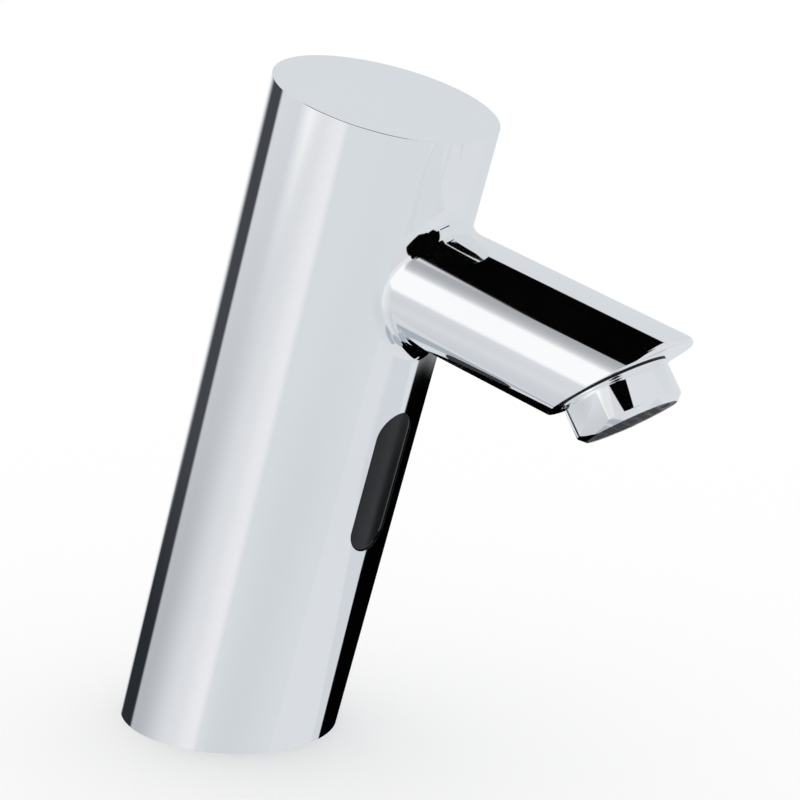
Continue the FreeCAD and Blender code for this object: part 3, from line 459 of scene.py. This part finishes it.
def handling_group():
    """Faint cloudy marks that polishing and wiping leave."""
    name = "handling_marks"
    if name in bpy.data.node_groups:
        return bpy.data.node_groups[name]
    inputs = [("Scale", 40.0), ("Low", 0.0), ("High", 1.0)]
    outputs = [("Value", "NodeSocketFloat"), ("Height", "NodeSocketFloat")]
    group, start, end = new_group(name, inputs, outputs)
    nodes, links = group.nodes, group.links
    coordinates = nodes.new("ShaderNodeTexCoord")
    cloud = nodes.new("ShaderNodeTexNoise")
    cloud.inputs["Detail"].default_value = CLOUD_DETAIL
    links.new(coordinates.outputs["Object"], cloud.inputs["Vector"])
    links.new(start.outputs["Scale"], cloud.inputs["Scale"])
    spread = nodes.new("ShaderNodeMapRange")
    spread.inputs["From Min"].default_value, spread.inputs["From Max"].default_value = CLOUD_RANGE
    links.new(cloud.outputs["Fac"], spread.inputs["Value"])
    links.new(start.outputs["Low"], spread.inputs["To Min"])
    links.new(start.outputs["High"], spread.inputs["To Max"])
    links.new(spread.outputs["Result"], end.inputs["Value"])
    links.new(cloud.outputs["Fac"], end.inputs["Height"])
    return group


def placed_group(nodes, links, group, **values):
    node = nodes.new("ShaderNodeGroup")
    node.node_tree = group
    for label, value in values.items():
        feed(links, node.inputs[label.replace("_", " ").capitalize()], value)
    return node


# ---- Materials ----
POLISH_SCALE = 2.3  # marks in the polish are this much finer than those in the colour
WAVE_RATE = 20.0  # radians in a metre of a wave texture whose scale is 1
FINE_GRAIN = 0.01 * MM  # relief of moulded plastic
COARSE_GRAIN = 0.02 * MM  # relief of rubber and mesh


def new_material(name):
    """A material with one Principled BSDF, and its nodes and links."""
    material = bpy.data.materials.new(name)
    material.use_nodes = True
    nodes, links = nodes_of(material.node_tree)
    shader = nodes.new("ShaderNodeBsdfPrincipled")
    output = nodes.new("ShaderNodeOutputMaterial")
    links.new(shader.outputs["BSDF"], output.inputs["Surface"])
    return material, nodes, links, shader


def mixed_colour(nodes, links, mask, first, second):
    node = nodes.new("ShaderNodeMix")
    node.data_type = "RGBA"
    for key, item in (("A", first), ("B", second)):
        socket = next(s for s in node.inputs if s.name == key and s.type == "RGBA")
        if isinstance(item, bpy.types.NodeSocket):
            links.new(item, socket)
        else:
            socket.default_value = (*item, 1.0)
    links.new(mask, node.inputs["Factor"])
    return next(s for s in node.outputs if s.type == "RGBA")


def shaded(tint, share):
    return tuple(channel * share for channel in tint)


def marked_material(name, tint, roughness, spread, scale=40.0, metallic=0.0, tone=0.94, relief=0.0):
    """Plain finish with cloudy variation of its colour and polish, and a little relief."""
    material, nodes, links, shader = new_material(name)
    marks = placed_group(nodes, links, handling_group(), scale=scale, low=0.0, high=1.0)
    polish = placed_group(
        nodes,
        links,
        handling_group(),
        scale=scale * POLISH_SCALE,
        low=roughness - spread,
        high=roughness + spread,
    )
    tinted = mixed_colour(nodes, links, marks.outputs["Value"], tint, shaded(tint, tone))
    links.new(tinted, shader.inputs["Base Color"])
    links.new(polish.outputs["Value"], shader.inputs["Roughness"])
    shader.inputs["Metallic"].default_value = metallic
    if relief:
        bump = nodes.new("ShaderNodeBump")
        bump.inputs["Distance"].default_value = relief
        links.new(marks.outputs["Height"], bump.inputs["Height"])
        links.new(bump.outputs["Normal"], shader.inputs["Normal"])
    return material


def chrome_material():
    finish = settings("tap_finish")
    rough = finish.chrome_roughness
    return marked_material(
        "polished_chrome", finish.chrome, rough, rough * 0.3, scale=30.0, metallic=1.0, tone=0.985
    )


def window_material():
    finish = settings("tap_finish")
    material = marked_material("infrared_window", finish.window, 0.22, 0.03, scale=60.0, tone=0.8)
    material.node_tree.nodes["Principled BSDF"].inputs["Specular IOR Level"].default_value = 0.25
    return material


def banded_material(name, tint, dark, spacing, direction, metallic, roughness):
    """Fine parallel lines, as turning or winding leaves them, whose pattern turns one radian in a spacing."""
    material, nodes, links, shader = new_material(name)
    coordinates = nodes.new("ShaderNodeTexCoord")
    wave = nodes.new("ShaderNodeTexWave")
    wave.wave_type = "BANDS"
    wave.bands_direction = direction
    wave.inputs["Scale"].default_value = 1.0 / spacing / WAVE_RATE
    wave.inputs["Distortion"].default_value = 0.4
    links.new(coordinates.outputs["Object"], wave.inputs["Vector"])
    links.new(mixed_colour(nodes, links, wave.outputs["Fac"], dark, tint), shader.inputs["Base Color"])
    smoothest, roughest = roughness * 0.8, roughness * 1.2
    marks = placed_group(nodes, links, handling_group(), scale=80.0, low=smoothest, high=roughest)
    links.new(marks.outputs["Value"], shader.inputs["Roughness"])
    bump = nodes.new("ShaderNodeBump")
    bump.inputs["Distance"].default_value = spacing * 0.2
    links.new(wave.outputs["Fac"], bump.inputs["Height"])
    links.new(bump.outputs["Normal"], shader.inputs["Normal"])
    shader.inputs["Metallic"].default_value = metallic
    return material


def slot_materials():
    """One finish for each material slot of the record."""
    finish = settings("tap_finish")
    return {
        "chrome": chrome_material(),
        "brass": banded_material(
            "turned_brass",
            (0.72, 0.53, 0.24),
            (0.62, 0.44, 0.18),
            spacing=0.25 * MM,
            direction="X",
            metallic=1.0,
            roughness=0.3,
        ),
        "steel": marked_material(
            "zinc_steel", (0.56, 0.57, 0.58), 0.34, 0.06, scale=200.0, metallic=1.0, tone=0.85
        ),
        "stainless": marked_material(
            "stainless_steel", (0.6, 0.6, 0.61), 0.3, 0.06, scale=150.0, metallic=1.0, tone=0.9
        ),
        "spring_steel": marked_material(
            "spring_wire", (0.45, 0.46, 0.48), 0.3, 0.05, scale=300.0, metallic=1.0, tone=0.85
        ),
        "rubber": marked_material(
            "black_rubber", finish.rubber, 0.62, 0.08, scale=250.0, tone=0.7, relief=COARSE_GRAIN
        ),
        "strainer_plastic": marked_material(
            "strainer_mesh", (0.6, 0.63, 0.65), 0.5, 0.08, scale=400.0, relief=COARSE_GRAIN
        ),
        "white_plastic": marked_material(
            "acetal_white", (0.78, 0.78, 0.75), 0.42, 0.06, scale=150.0, relief=FINE_GRAIN
        ),
        "valve_plastic": marked_material(
            "glass_filled_grey", (0.09, 0.095, 0.1), 0.5, 0.08, scale=180.0, relief=FINE_GRAIN
        ),
        "black_plastic": marked_material(
            "moulded_black", (0.014, 0.014, 0.015), 0.45, 0.08, scale=180.0, relief=FINE_GRAIN
        ),
        "copper_winding": banded_material(
            "enamelled_winding",
            (0.5, 0.19, 0.06),
            (0.16, 0.05, 0.02),
            spacing=0.3 * MM,
            direction="Z",
            metallic=0.6,
            roughness=0.35,
        ),
        "cable_sheath": marked_material("lead_sheath", (0.02, 0.02, 0.021), 0.4, 0.06, scale=300.0),
        "tube_plastic": marked_material("water_tube_natural", (0.72, 0.75, 0.77), 0.28, 0.05, scale=120.0),
        "window_plastic": window_material(),
        "board": marked_material("solder_resist", (0.015, 0.12, 0.045), 0.3, 0.06, scale=350.0, tone=0.75),
        "lens_plastic": marked_material("diode_lens", (0.03, 0.022, 0.04), 0.12, 0.03, scale=200.0),
        "honeycomb_plastic": marked_material(
            "outlet_screen", finish.screen, 0.5, 0.08, scale=500.0, relief=FINE_GRAIN
        ),
    }


# ---- Casting ----
def stadium_block(name, width, whole, front, back, sides=96):
    """Upright block with two round ends, in the column's frame, between two depths in front of its axis."""
    sizes = settings("tap_sizes")
    block = rod(name, width / 2, back, front, turn_x(math.pi / 2), sides)
    half = (whole - width) / 2
    for vertex in block.data.vertices:
        vertex.co.z += half if vertex.co.z > 0 else -half
        vertex.co.z += sizes.window_height
    block.data.transform(column_frame())
    return block


def column_solid():
    """Leaning column, cut level at the deck, with a small radius round its top face."""
    sizes = settings("tap_sizes")
    place = column_frame()
    start = -sizes.column_radius
    column = rod("casting", sizes.column_radius, start, sizes.column_length, place, sides=256)
    axis = axis_of(place)
    edges_where(column, lambda co: co.dot(axis) > sizes.column_length - CLOSE)
    bpy.ops.mesh.bevel(offset=sizes.top_edge, segments=4, affect="EDGES")
    keep_below(column, (0, 0, 0), (0, 0, -1))
    return column


def slerp(first, second, share):
    """The direction a share of the way round from one to another."""
    between = math.acos(max(-1.0, min(1.0, first.dot(second))))
    if between < TINY_ANGLE:
        return first.copy()
    return (first * math.sin((1 - share) * between) + second * math.sin(share * between)) / math.sin(between)


def spout_rings(count=192, root_steps=18, lip_steps=6, straight_steps=4):
    """Rings of points of the spout's skin, from inside the column's wall out to the throat."""
    sizes = settings("tap_sizes")
    column_axis = axis_of(column_frame())
    place = spout_frame()
    root = place.to_translation()
    along = axis_of(place)
    outlet = outlet_frame()
    face = axis_of(outlet)
    face_point = outlet.to_translation()
    aerator = aerator_frame()
    aerator_point = aerator.to_translation()
    in_wall = (sizes.bore_radius + sizes.column_radius) / 2
    rings = []
    for k in range(count):
        turn = 2 * math.pi * k / count
        radial = place.to_3x3() @ Vector((math.cos(turn), math.sin(turn), 0))
        # A ball that rolls in the corner between the two cylinders.
        start = across(root + (sizes.spout_radius + sizes.root_radius) * radial, column_axis)
        step = across(along, column_axis)
        a = step.dot(step)
        b = 2 * start.dot(step)
        c = start.dot(start) - (sizes.column_radius + sizes.root_radius) ** 2
        travel = (-b + math.sqrt(b * b - 4 * a * c)) / (2 * a)
        ball = root + (sizes.spout_radius + sizes.root_radius) * radial + travel * along
        from_column = across(ball, column_axis)
        to_column = -from_column.normalized()
        foot = ball + sizes.root_radius * to_column
        line = [foot - (sizes.column_radius - in_wall) * across(foot, column_axis).normalized()]
        for i in range(root_steps + 1):
            line.append(ball + sizes.root_radius * slerp(to_column, -radial, i / root_steps))
        # A ball that rolls inside the edge of the outlet face and is largest at the tip.
        share = max(0.0, min(1.0, (radial.z - TIP_FROM) / (TIP_TO - TIP_FROM)))
        lip = sizes.lip_low + (sizes.lip_radius - sizes.lip_low) * share * share * (3 - 2 * share)
        inside = root + (sizes.spout_radius - lip) * radial
        travel = (-lip - (inside - face_point).dot(face)) / along.dot(face)
        ball = inside + travel * along
        edge = ball + lip * radial
        last = line[-1]
        for i in range(1, straight_steps):
            line.append(last.lerp(edge, i / straight_steps))
        for i in range(lip_steps + 1):
            line.append(ball + lip * slerp(radial, face, i / lip_steps))
        rim = (line[-1] - aerator_point).normalized()
        floor = aerator_point - sizes.socket_depth * face
        line.append(aerator_point + sizes.socket_radius * rim)
        line.append(floor + sizes.socket_radius * rim)
        line.append(floor + sizes.throat_radius * rim)
        line.append(aerator_point - sizes.throat_depth * face + sizes.throat_radius * rim)
        rings.append(line)
    return list(zip(*rings))


def spout_solid():
    """Spout with its root blended into the column. Its skin is worked out ring by ring, because no
    bevel follows the edge where two round bars cross."""
    rings = spout_rings()
    count = len(rings[0])
    points = [point for ring in rings for point in ring]
    faces = []
    for i in range(len(rings) - 1):
        for j in range(count):
            k = (j + 1) % count
            faces.append((i * count + j, i * count + k, (i + 1) * count + k, (i + 1) * count + j))
    faces.append(tuple(reversed(range(count))))
    faces.append(tuple(range((len(rings) - 1) * count, len(rings) * count)))
    mesh = bpy.data.meshes.new("spout")
    mesh.from_pydata(points, [], faces)
    spout = linked("spout", mesh)
    merged(spout, NEW_WELD, outward=True)
    return spout


def true_normals(obj):
    """Gives each corner on the round and flat outer faces that face's own exact normal."""
    sizes = settings("tap_sizes")
    column_axis = axis_of(column_frame())
    spout_axis = axis_of(spout_frame())
    root = spout_frame().to_translation()
    outlet = outlet_frame().to_translation()
    outlet_axis = axis_of(outlet_frame())
    mesh = obj.data
    normals = [Vector((0, 0, 0)) for _ in mesh.loops]
    for face in mesh.polygons:
        for index in face.loop_indices:
            point = mesh.vertices[mesh.loops[index].vertex_index].co
            from_column = across(point, column_axis)
            from_spout = across(point - root, spout_axis)
            found = []
            if abs(from_column.length - sizes.column_radius) < CLOSE:
                found.append(from_column.normalized())
            if abs(from_spout.length - sizes.spout_radius) < CLOSE:
                found.append(from_spout.normalized())
            if abs(point.dot(column_axis) - sizes.column_length) < CLOSE:
                found.append(column_axis)
            if abs((point - outlet).dot(outlet_axis)) < CLOSE:
                found.append(outlet_axis)
            fitting = [normal for normal in found if normal.dot(face.normal) > FACING]
            if fitting:
                normals[index] = max(fitting, key=face.normal.dot)
    mesh.normals_split_custom_set(normals)


class TAP_OT_casting(bpy.types.Operator):
    """Column and spout in one casting, hollow, with the window's cut-out and the aerator's socket"""

    bl_idname = "tap.casting"
    bl_label = "Casting"

    def execute(self, context):
        sizes = settings("tap_sizes")
        place = column_frame()
        column = column_solid()
        bore = rod("bore", sizes.bore_radius, 0, sizes.bore_length, place)
        keep_below(bore, (0, 0, sizes.plate_depth), (0, 0, -1))
        recess = rod("recess", sizes.plate_radius, -sizes.plate_depth, sizes.plate_depth + PAST, Matrix())
        groove = rod("groove", sizes.seal_outer, -PAST, sizes.seal_depth, Matrix())
        cut_away(groove, rod("island", sizes.seal_inner, -2 * PAST, 2 * sizes.seal_depth, Matrix()))
        front = sizes.column_radius + PAST
        back = sizes.bore_radius - PAST
        opening = stadium_block("opening", sizes.window_width, sizes.window_length, front, back)
        cut_away(column, bore, recess, groove, opening)
        spout = spout_solid()
        cut_away(spout, rod("bore", sizes.bore_radius, 0, sizes.bore_length, place))
        select_only(column, spout)
        bpy.ops.object.join()
        smooth(column, CASTING_EDGE)
        true_normals(column)
        dressed(column, bpy.data.materials["polished_chrome"], "chrome", "tap_body")
        return {"FINISHED"}


# ---- Window ----
class TAP_OT_window(bpy.types.Operator):
    """Black infrared window whose face follows the column's curve"""

    bl_idname = "tap.window"
    bl_label = "Sensor window"

    def execute(self, context):
        sizes = settings("tap_sizes")
        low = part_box("sensor_window")[0]
        place = column_frame()
        radius = sizes.column_radius - sizes.window_recess
        lens = rod("window", radius, low.z, sizes.column_length, place, sides=512)
        back = sizes.bore_radius - WINDOW_BACK
        front = sizes.column_radius + PAST
        gap = 2 * sizes.window_gap
        block = stadium_block("plug", sizes.window_width - gap, sizes.window_length - gap, front, back)
        combine(lens, block, "INTERSECT")
        smooth(lens, CASTING_EDGE)
        dressed(lens, bpy.data.materials["infrared_window"], "window_plastic", "sensor_window")
        return {"FINISHED"}


# ---- Aerator ----
FLAT_CUTTER = (10 * MM, 30 * MM, 12 * MM)  # block that cuts a spanner flat
FLAT_START = 1.5 * MM  # from the outlet face to the flats' inner end


class TAP_OT_aerator(bpy.types.Operator):
    """Chrome aerator housing: collar, barrel with two spanner flats, chamfered mouth"""

    bl_idname = "tap.aerator"
    bl_label = "Aerator housing"

    def execute(self, context):
        sizes = settings("tap_sizes")
        corners = [
            (sizes.insert_radius, -sizes.thread_length),
            (sizes.thread_radius, -sizes.thread_length),
            (sizes.thread_radius, sizes.collar_gap),
            (sizes.collar_radius, sizes.collar_gap),
            (sizes.collar_radius, sizes.collar_end),
            (sizes.relief_radius, sizes.collar_end),
            (sizes.relief_radius, sizes.relief_end),
            (sizes.barrel_radius, sizes.relief_end),
            (sizes.barrel_radius, sizes.barrel_end),
            (sizes.mouth_radius, sizes.mouth_end),
            (sizes.mouth_bore, sizes.mouth_end),
            (sizes.mouth_bore, sizes.shoulder),
            (sizes.insert_radius, sizes.shoulder),
        ]
        housing = spun("aerator", rounded_profile(corners, sizes.aerator_edge), Matrix())
        size = Vector(FLAT_CUTTER)
        centre = (sizes.flat_from + size.x / 2, 0, FLAT_START + size.z / 2)
        for side in (0, math.pi):
            turn = Matrix.Rotation(sizes.flat_turn + side, 4, "Z")
            cut_away(housing, box("flat", size, centre, turn))
        # Faces of the chrome thread inside the gap under the collar. They get a near-black material below:
        # painted shade where the chrome lies in shadow.
        thread_end = sizes.collar_gap - CLOSE
        painted_shade_faces = [
            polygon.index
            for polygon in housing.data.polygons
            if polygon.center.z < thread_end and polygon.center.xy.length > sizes.relief_radius
        ]
        housing.data.transform(aerator_frame())
        smooth(housing)
        dressed(housing, bpy.data.materials["polished_chrome"], "chrome", "aerator_housing")
        # Near-black painted shade on those thread faces in place of chrome.
        housing.data.materials.append(marked_material("shaded_thread", (0.006, 0.006, 0.007), 0.5, 0.05))
        for index in painted_shade_faces:
            housing.data.polygons[index].material_index = 1
        return {"FINISHED"}


# ---- Finishes of the other pieces ----
class TAP_OT_finishes(bpy.types.Operator):
    """Materials of every slot, and a smooth skin on the pieces that keep their own mesh"""

    bl_idname = "tap.finishes"
    bl_label = "Finishes"

    def execute(self, context):
        materials = slot_materials()
        for row in frame["record"]["subparts"]:
            node = frame["nodes"][row["node"]]
            node.data.materials.clear()
            node.data.materials.append(materials[row["material_slot"]])
            for polygon in node.data.polygons:
                polygon.use_smooth = True
            weld = node.modifiers.new("weld", "WELD")
            weld.merge_threshold = NODE_WELD
            split = node.modifiers.new("split", "EDGE_SPLIT")
            split.split_angle = math.radians(PIECE_EDGE)
        return {"FINISHED"}


# ---- Springs ----
class TAP_OT_springs(bpy.types.Operator):
    """Valve springs, each a smooth copy of its node's mesh with its points welded"""

    bl_idname = "tap.springs"
    bl_label = "Springs"

    def execute(self, context):
        slots = {row["node"]: row["material_slot"] for row in frame["record"]["subparts"]}
        for joint in frame["record"]["behaviour"]["joints"]:
            for row in joint.get("deforming_nodes", ()):
                name = row["node"]
                if name == "valve_diaphragm":
                    continue
                rigid = frame["nodes"][name]
                piece = linked(name + "_wire", rigid.data.copy())
                piece.data.name = piece.name
                merged(piece, NODE_WELD)
                smooth(piece)
                dressed(piece, rigid.data.materials[0], slots[name], name)
                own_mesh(piece)
        return {"FINISHED"}


# ---- Diaphragm ----
class TAP_OT_diaphragm(bpy.types.Operator):
    """Rubber diaphragm: clamped bead, hub on a body of its own, and the web between them cut into sectors"""

    bl_idname = "tap.diaphragm"
    bl_label = "Diaphragm"

    def execute(self, context):
        sizes = settings("tap_sizes")
        low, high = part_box("valve_diaphragm")
        rubber = frame["nodes"]["valve_diaphragm"].data.materials[0]
        centre = Vector(((low.x + high.x) / 2, (low.y + high.y) / 2, 0))
        place = Matrix.Translation(centre)
        web_high = high.z - sizes.hub_rise
        web_low = web_high - sizes.web_thickness
        hub_low = web_low - sizes.hub_rise
        hub, hole = sizes.hub_radius, sizes.hub_bore
        bead, outer = sizes.bead_radius, (high.x - low.x) / 2
        profiles = {
            "diaphragm_bead": [(bead, low.z), (outer, low.z), (outer, web_high), (bead, web_high)],
            "diaphragm_hub": [(hole, hub_low), (hub, hub_low), (hub, high.z), (hole, high.z)],
        }
        for name, profile in profiles.items():
            body = "diaphragm" if name == "diaphragm_hub" else HOME_BODY
            piece = spun(name, profile, place)
            smooth(piece)
            dressed(piece, rubber, "rubber", "valve_diaphragm", body=body)
        radii = [hub + (bead - hub) * i / WEB_STEPS for i in range(WEB_STEPS + 1)]
        web = [(r, web_low) for r in radii] + [(r, web_high) for r in reversed(radii)]
        half = math.pi / WEB_SECTORS
        for i in range(WEB_SECTORS):
            middle = 2 * half * i
            piece = spun("diaphragm_web_%02d" % (i + 1), web, place, WEB_SPIN)
            for side in (1, -1):
                edge = middle + side * half
                keep_below(piece, centre, side * Vector((-math.sin(edge), math.cos(edge), 0)))
            smooth(piece)
            dressed(piece, rubber, "rubber", "valve_diaphragm", body=None)
            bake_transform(piece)
        return {"FINISHED"}


# ---- Studio ----
FRONT = (0.73, 0.755, 0.785)  # colour of the tent and cards in front
TENT = (0.7, 0.73, 0.757)  # colour of the tent elsewhere
BLACK = (0.0006, 0.0006, 0.0006)  # colour of the black flags

# Each panel: its name, left and right, bottom and top, slope of its top, softness of its left, right
# and rim, and its colour. Walls are placed by azimuth (0 is +Y, 90 is +X) and elevation in degrees,
# ceilings by X and Y at one unit of height. A later panel covers an earlier one.
WALLS = (
    ("front_low", 100, 181, -60, 8, 0, 20, 1, 20, FRONT),
    ("back_low", -150, -100, -60, -34, 0, 31, 5, 8, (0.65, 0.68, 0.715)),
    ("side_glow", -90, -52, -45, 95, 0, 5, 60, 8, (0.76, 0.765, 0.79)),
    ("side_line", -90, -74, -45, 40, 0, 4.5, 12, 8, (0.84, 0.845, 0.865)),
    ("front_black", -157, -60, 0, 50, 0, 1.5, 1.5, 2, BLACK),
    ("front_end", -168.5, -155, 12.5, 50, 0, 1.5, 1.5, 2, BLACK),
    ("root_return", -142, -94, -10, 13.7, 0.75, 1.5, 1.5, 1, (0.7, 0.71, 0.73)),
    ("root_side", -98, -50, -10, 39, 0.38, 1, 1, 1, (0.8, 0.81, 0.825)),
    ("front_fade", -41, 20, -26, -9, 0, 25, 5, 8, (0.47, 0.485, 0.515)),
    ("spout_shade", -50, 18, -90, -36, 0, 12, 3, 12, (0.62, 0.64, 0.68)),
    ("nadir_shade", -181, -94, -76, -63, 0, 1, 9, 3, (0.42, 0.46, 0.51)),
    ("nadir_spot", -181, 181, -91, -78.5, 0, 1, 1, 2, (0.42, 0.46, 0.51)),
    ("spout_white", -82, -46, -9.5, 25.5, 0, 4, 9, 4, (1.0, 1.0, 1.0)),
    ("charcoal_back", -6.5, 24, -50, 6, 0, 3, 8, 4, (0.056, 0.061, 0.07)),
    ("charcoal_low", -6.5, 26, -50, -12.5, 0, 3, 4, 3, (0.022, 0.026, 0.031)),
    ("edge_strip", 33, 50, -32, 10, 0, 5, 3, 3, (0.9, 0.92, 0.94)),
    ("right_black", 56, 113, -48, -21, -0.255, 3, 1.5, 0.8, BLACK),
    ("right_return", 98, 155, -38.2, -30.6, 0.204, 1, 5, 0.25, (0.66, 0.69, 0.73)),
    ("under_black", 8, 55, -62, -28, 0.6, 3, 4, 1.5, BLACK),
    ("floor_black", 26, 113, -79, -38.2, 0, 3, 1.5, 0.5, BLACK),
)
CEILINGS = (
    ("soft_grey", -1.6, -0.8, 0.35, 1.6, 0, 0.65, 0.1, 0.12, (0.4, 0.41, 0.43)),
    ("overhead_black", -0.88, 0.5, 0.2, 0.5, 0, 0.02, 0.02, 0.02, BLACK),
    ("overhead_front", -0.08, 0.57, -1.33, -1.14, 0.05, 0.02, 0.02, 0.01, BLACK),
    ("overhead_mid", -1.0, -0.15, -1.27, 0.25, 0, 0.02, 0.02, 0.02, BLACK),
)
# Cards that only reflections show: name, size, centre and turn in degrees.
CARDS = (
    ("mouth_card", (74 * MM, 53 * MM), (-7 * MM, -152 * MM, 138.5 * MM), (90, 0, 0)),
    ("tip_card", (40 * MM, 52 * MM), (34 * MM, -118 * MM, 96 * MM), (0, 90, 0)),
)
LEAST_RISE = 0.01  # upward share of a direction below which the ceilings' map stops widening
SENSOR_WIDTH = 36.0  # millimetres across the camera's sensor
NEAR_CLIP = 0.01  # metres from the camera where the picture starts


def over(nodes, links, shade, panels, across, up, allowed):
    """Lays panels over a colour, one after the other."""
    for name, left, right, bottom, top, slope, soft_left, soft_right, soft_rim, tint in panels:
        panel = placed_group(
            nodes,
            links,
            panel_group(),
            across=across,
            up=up,
            left=left,
            right=right,
            bottom=bottom,
            top=top,
            slope=slope,
            soft_left=soft_left,
            soft_right=soft_right,
            soft_rim=soft_rim,
        )
        panel.label = name
        mask = math_node(nodes, links, "MULTIPLY", panel.outputs["Mask"], allowed)
        shade = mixed_colour(nodes, links, mask, shade, tint)
    return shade


def world_colour(nodes, links):
    """Colour of the studio tent and its panels in each direction."""
    coordinates = nodes.new("ShaderNodeTexCoord")
    parts = nodes.new("ShaderNodeSeparateXYZ")
    links.new(coordinates.outputs["Generated"], parts.inputs["Vector"])
    x, y, z = (parts.outputs[key] for key in "XYZ")
    degrees = 180 / math.pi
    azimuth = math_node(nodes, links, "MULTIPLY", math_node(nodes, links, "ARCTAN2", x, y), degrees)
    elevation = math_node(nodes, links, "MULTIPLY", math_node(nodes, links, "ARCSINE", z), degrees)
    height = math_node(nodes, links, "MAXIMUM", z, LEAST_RISE)
    plan_x = math_node(nodes, links, "DIVIDE", x, height)
    plan_y = math_node(nodes, links, "DIVIDE", y, height)
    above = math_node(nodes, links, "GREATER_THAN", z, 0.0)
    shade = over(nodes, links, TENT, WALLS, azimuth, elevation, 1.0)
    return over(nodes, links, shade, CEILINGS, plan_x, plan_y, above)


class TAP_OT_studio(bpy.types.Operator):
    """Pale floor, tent of soft light with its panels, and the camera"""

    bl_idname = "tap.studio"
    bl_label = "Studio"

    def execute(self, context):
        studio = settings("tap_studio")
        scene = context.scene
        scene.view_settings.view_transform = "Standard"
        world = bpy.data.worlds.new("studio")
        world.use_nodes = True
        scene.world = world
        nodes, links = nodes_of(world.node_tree)
        path = nodes.new("ShaderNodeLightPath")
        tent = world_colour(nodes, links)
        seen = mixed_colour(nodes, links, path.outputs["Is Glossy Ray"], (1.0, 1.0, 1.0), tent)
        background = nodes.new("ShaderNodeBackground")
        output = nodes.new("ShaderNodeOutputWorld")
        links.new(seen, background.inputs["Color"])
        links.new(background.outputs["Background"], output.inputs["Surface"])
        bpy.ops.object.select_all(action="DESELECT")
        bpy.ops.mesh.primitive_grid_add(x_subdivisions=4, y_subdivisions=4, size=studio.floor_size)
        floor = fixed(context.object, Matrix(), "floor")
        floor.visible_glossy = False
        floor.data.materials.append(floor_material())
        for card in CARDS:
            reflecting_card(*card, FRONT)
        camera_data = bpy.data.cameras.new("camera")
        camera_data.lens = studio.lens
        camera_data.sensor_width = SENSOR_WIDTH
        camera_data.clip_start = NEAR_CLIP
        camera = bpy.data.objects.new("camera", camera_data)
        camera.location = studio.camera_place
        camera.rotation_euler = studio.camera_turn
        scene.collection.objects.link(camera)
        scene.camera = camera
        return {"FINISHED"}


def reflecting_card(name, size, centre, degrees, tint):
    """Card that only reflections show."""
    bpy.ops.object.select_all(action="DESELECT")
    bpy.ops.mesh.primitive_plane_add(size=1)
    turn = Euler([math.radians(angle) for angle in degrees])
    card = fixed(bpy.context.object, Matrix.LocRotScale(Vector(centre), turn, Vector((*size, 1))), name)
    card.visible_camera = False
    card.visible_diffuse = False
    card.visible_transmission = False
    card.visible_shadow = False
    material = bpy.data.materials.new(name)
    material.use_nodes = True
    nodes, links = nodes_of(material.node_tree)
    glow = nodes.new("ShaderNodeEmission")
    glow.inputs["Color"].default_value = (*tint, 1.0)
    output = nodes.new("ShaderNodeOutputMaterial")
    links.new(glow.outputs["Emission"], output.inputs["Surface"])
    card.data.materials.append(material)


def floor_material():
    """Pale floor that shows white to the camera where nothing shades it."""
    studio = settings("tap_studio")
    material, nodes, links, shader = new_material("pale_floor")
    shader.inputs["Base Color"].default_value = (*studio.floor_colour, 1.0)
    shader.inputs["Roughness"].default_value = 1.0
    shader.inputs["Specular IOR Level"].default_value = 0.0
    path = nodes.new("ShaderNodeLightPath")
    shader.inputs["Emission Color"].default_value = (1.0, 1.0, 1.0, 1.0)
    lift = math_node(nodes, links, "MULTIPLY", path.outputs["Is Camera Ray"], 1.0 - studio.floor_colour[0])
    links.new(lift, shader.inputs["Emission Strength"])
    return material


class TAP_PT_panel(bpy.types.Panel):
    """Builds the tap's pieces one by one"""

    bl_idname = "TAP_PT_panel"
    bl_label = "Sensor tap"
    bl_space_type = "VIEW_3D"
    bl_region_type = "UI"
    bl_category = "Sensor tap"

    def draw(self, context):
        for operator in STEPS:
            self.layout.operator(operator.bl_idname)
        for group in ("tap_sizes", "tap_finish", "tap_studio"):
            holder = getattr(context.scene, group)
            box_layout = self.layout.box()
            for key in holder.__annotations__:
                box_layout.prop(holder, key)


STEPS = (
    TAP_OT_finishes,
    TAP_OT_springs,
    TAP_OT_diaphragm,
    TAP_OT_casting,
    TAP_OT_window,
    TAP_OT_aerator,
    TAP_OT_studio,
)
GROUPS = (("tap_sizes", TapSizes), ("tap_finish", TapFinish), ("tap_studio", TapStudio))


def register():
    for name, group in GROUPS:
        bpy.utils.register_class(group)
        setattr(bpy.types.Scene, name, bpy.props.PointerProperty(type=group))
    for operator in STEPS:
        bpy.utils.register_class(operator)
    bpy.utils.register_class(TAP_PT_panel)


def unregister():
    bpy.utils.unregister_class(TAP_PT_panel)
    for operator in reversed(STEPS):
        bpy.utils.unregister_class(operator)
    for name, group in reversed(GROUPS):
        delattr(bpy.types.Scene, name)
        bpy.utils.unregister_class(group)


def main():
    register()
    bpy.ops.tap.finishes()
    bpy.ops.tap.springs()
    bpy.ops.tap.diaphragm()
    bpy.ops.tap.casting()
    bpy.ops.tap.window()
    bpy.ops.tap.aerator()
    bpy.ops.tap.studio()


if __name__ == "__main__":
    main()
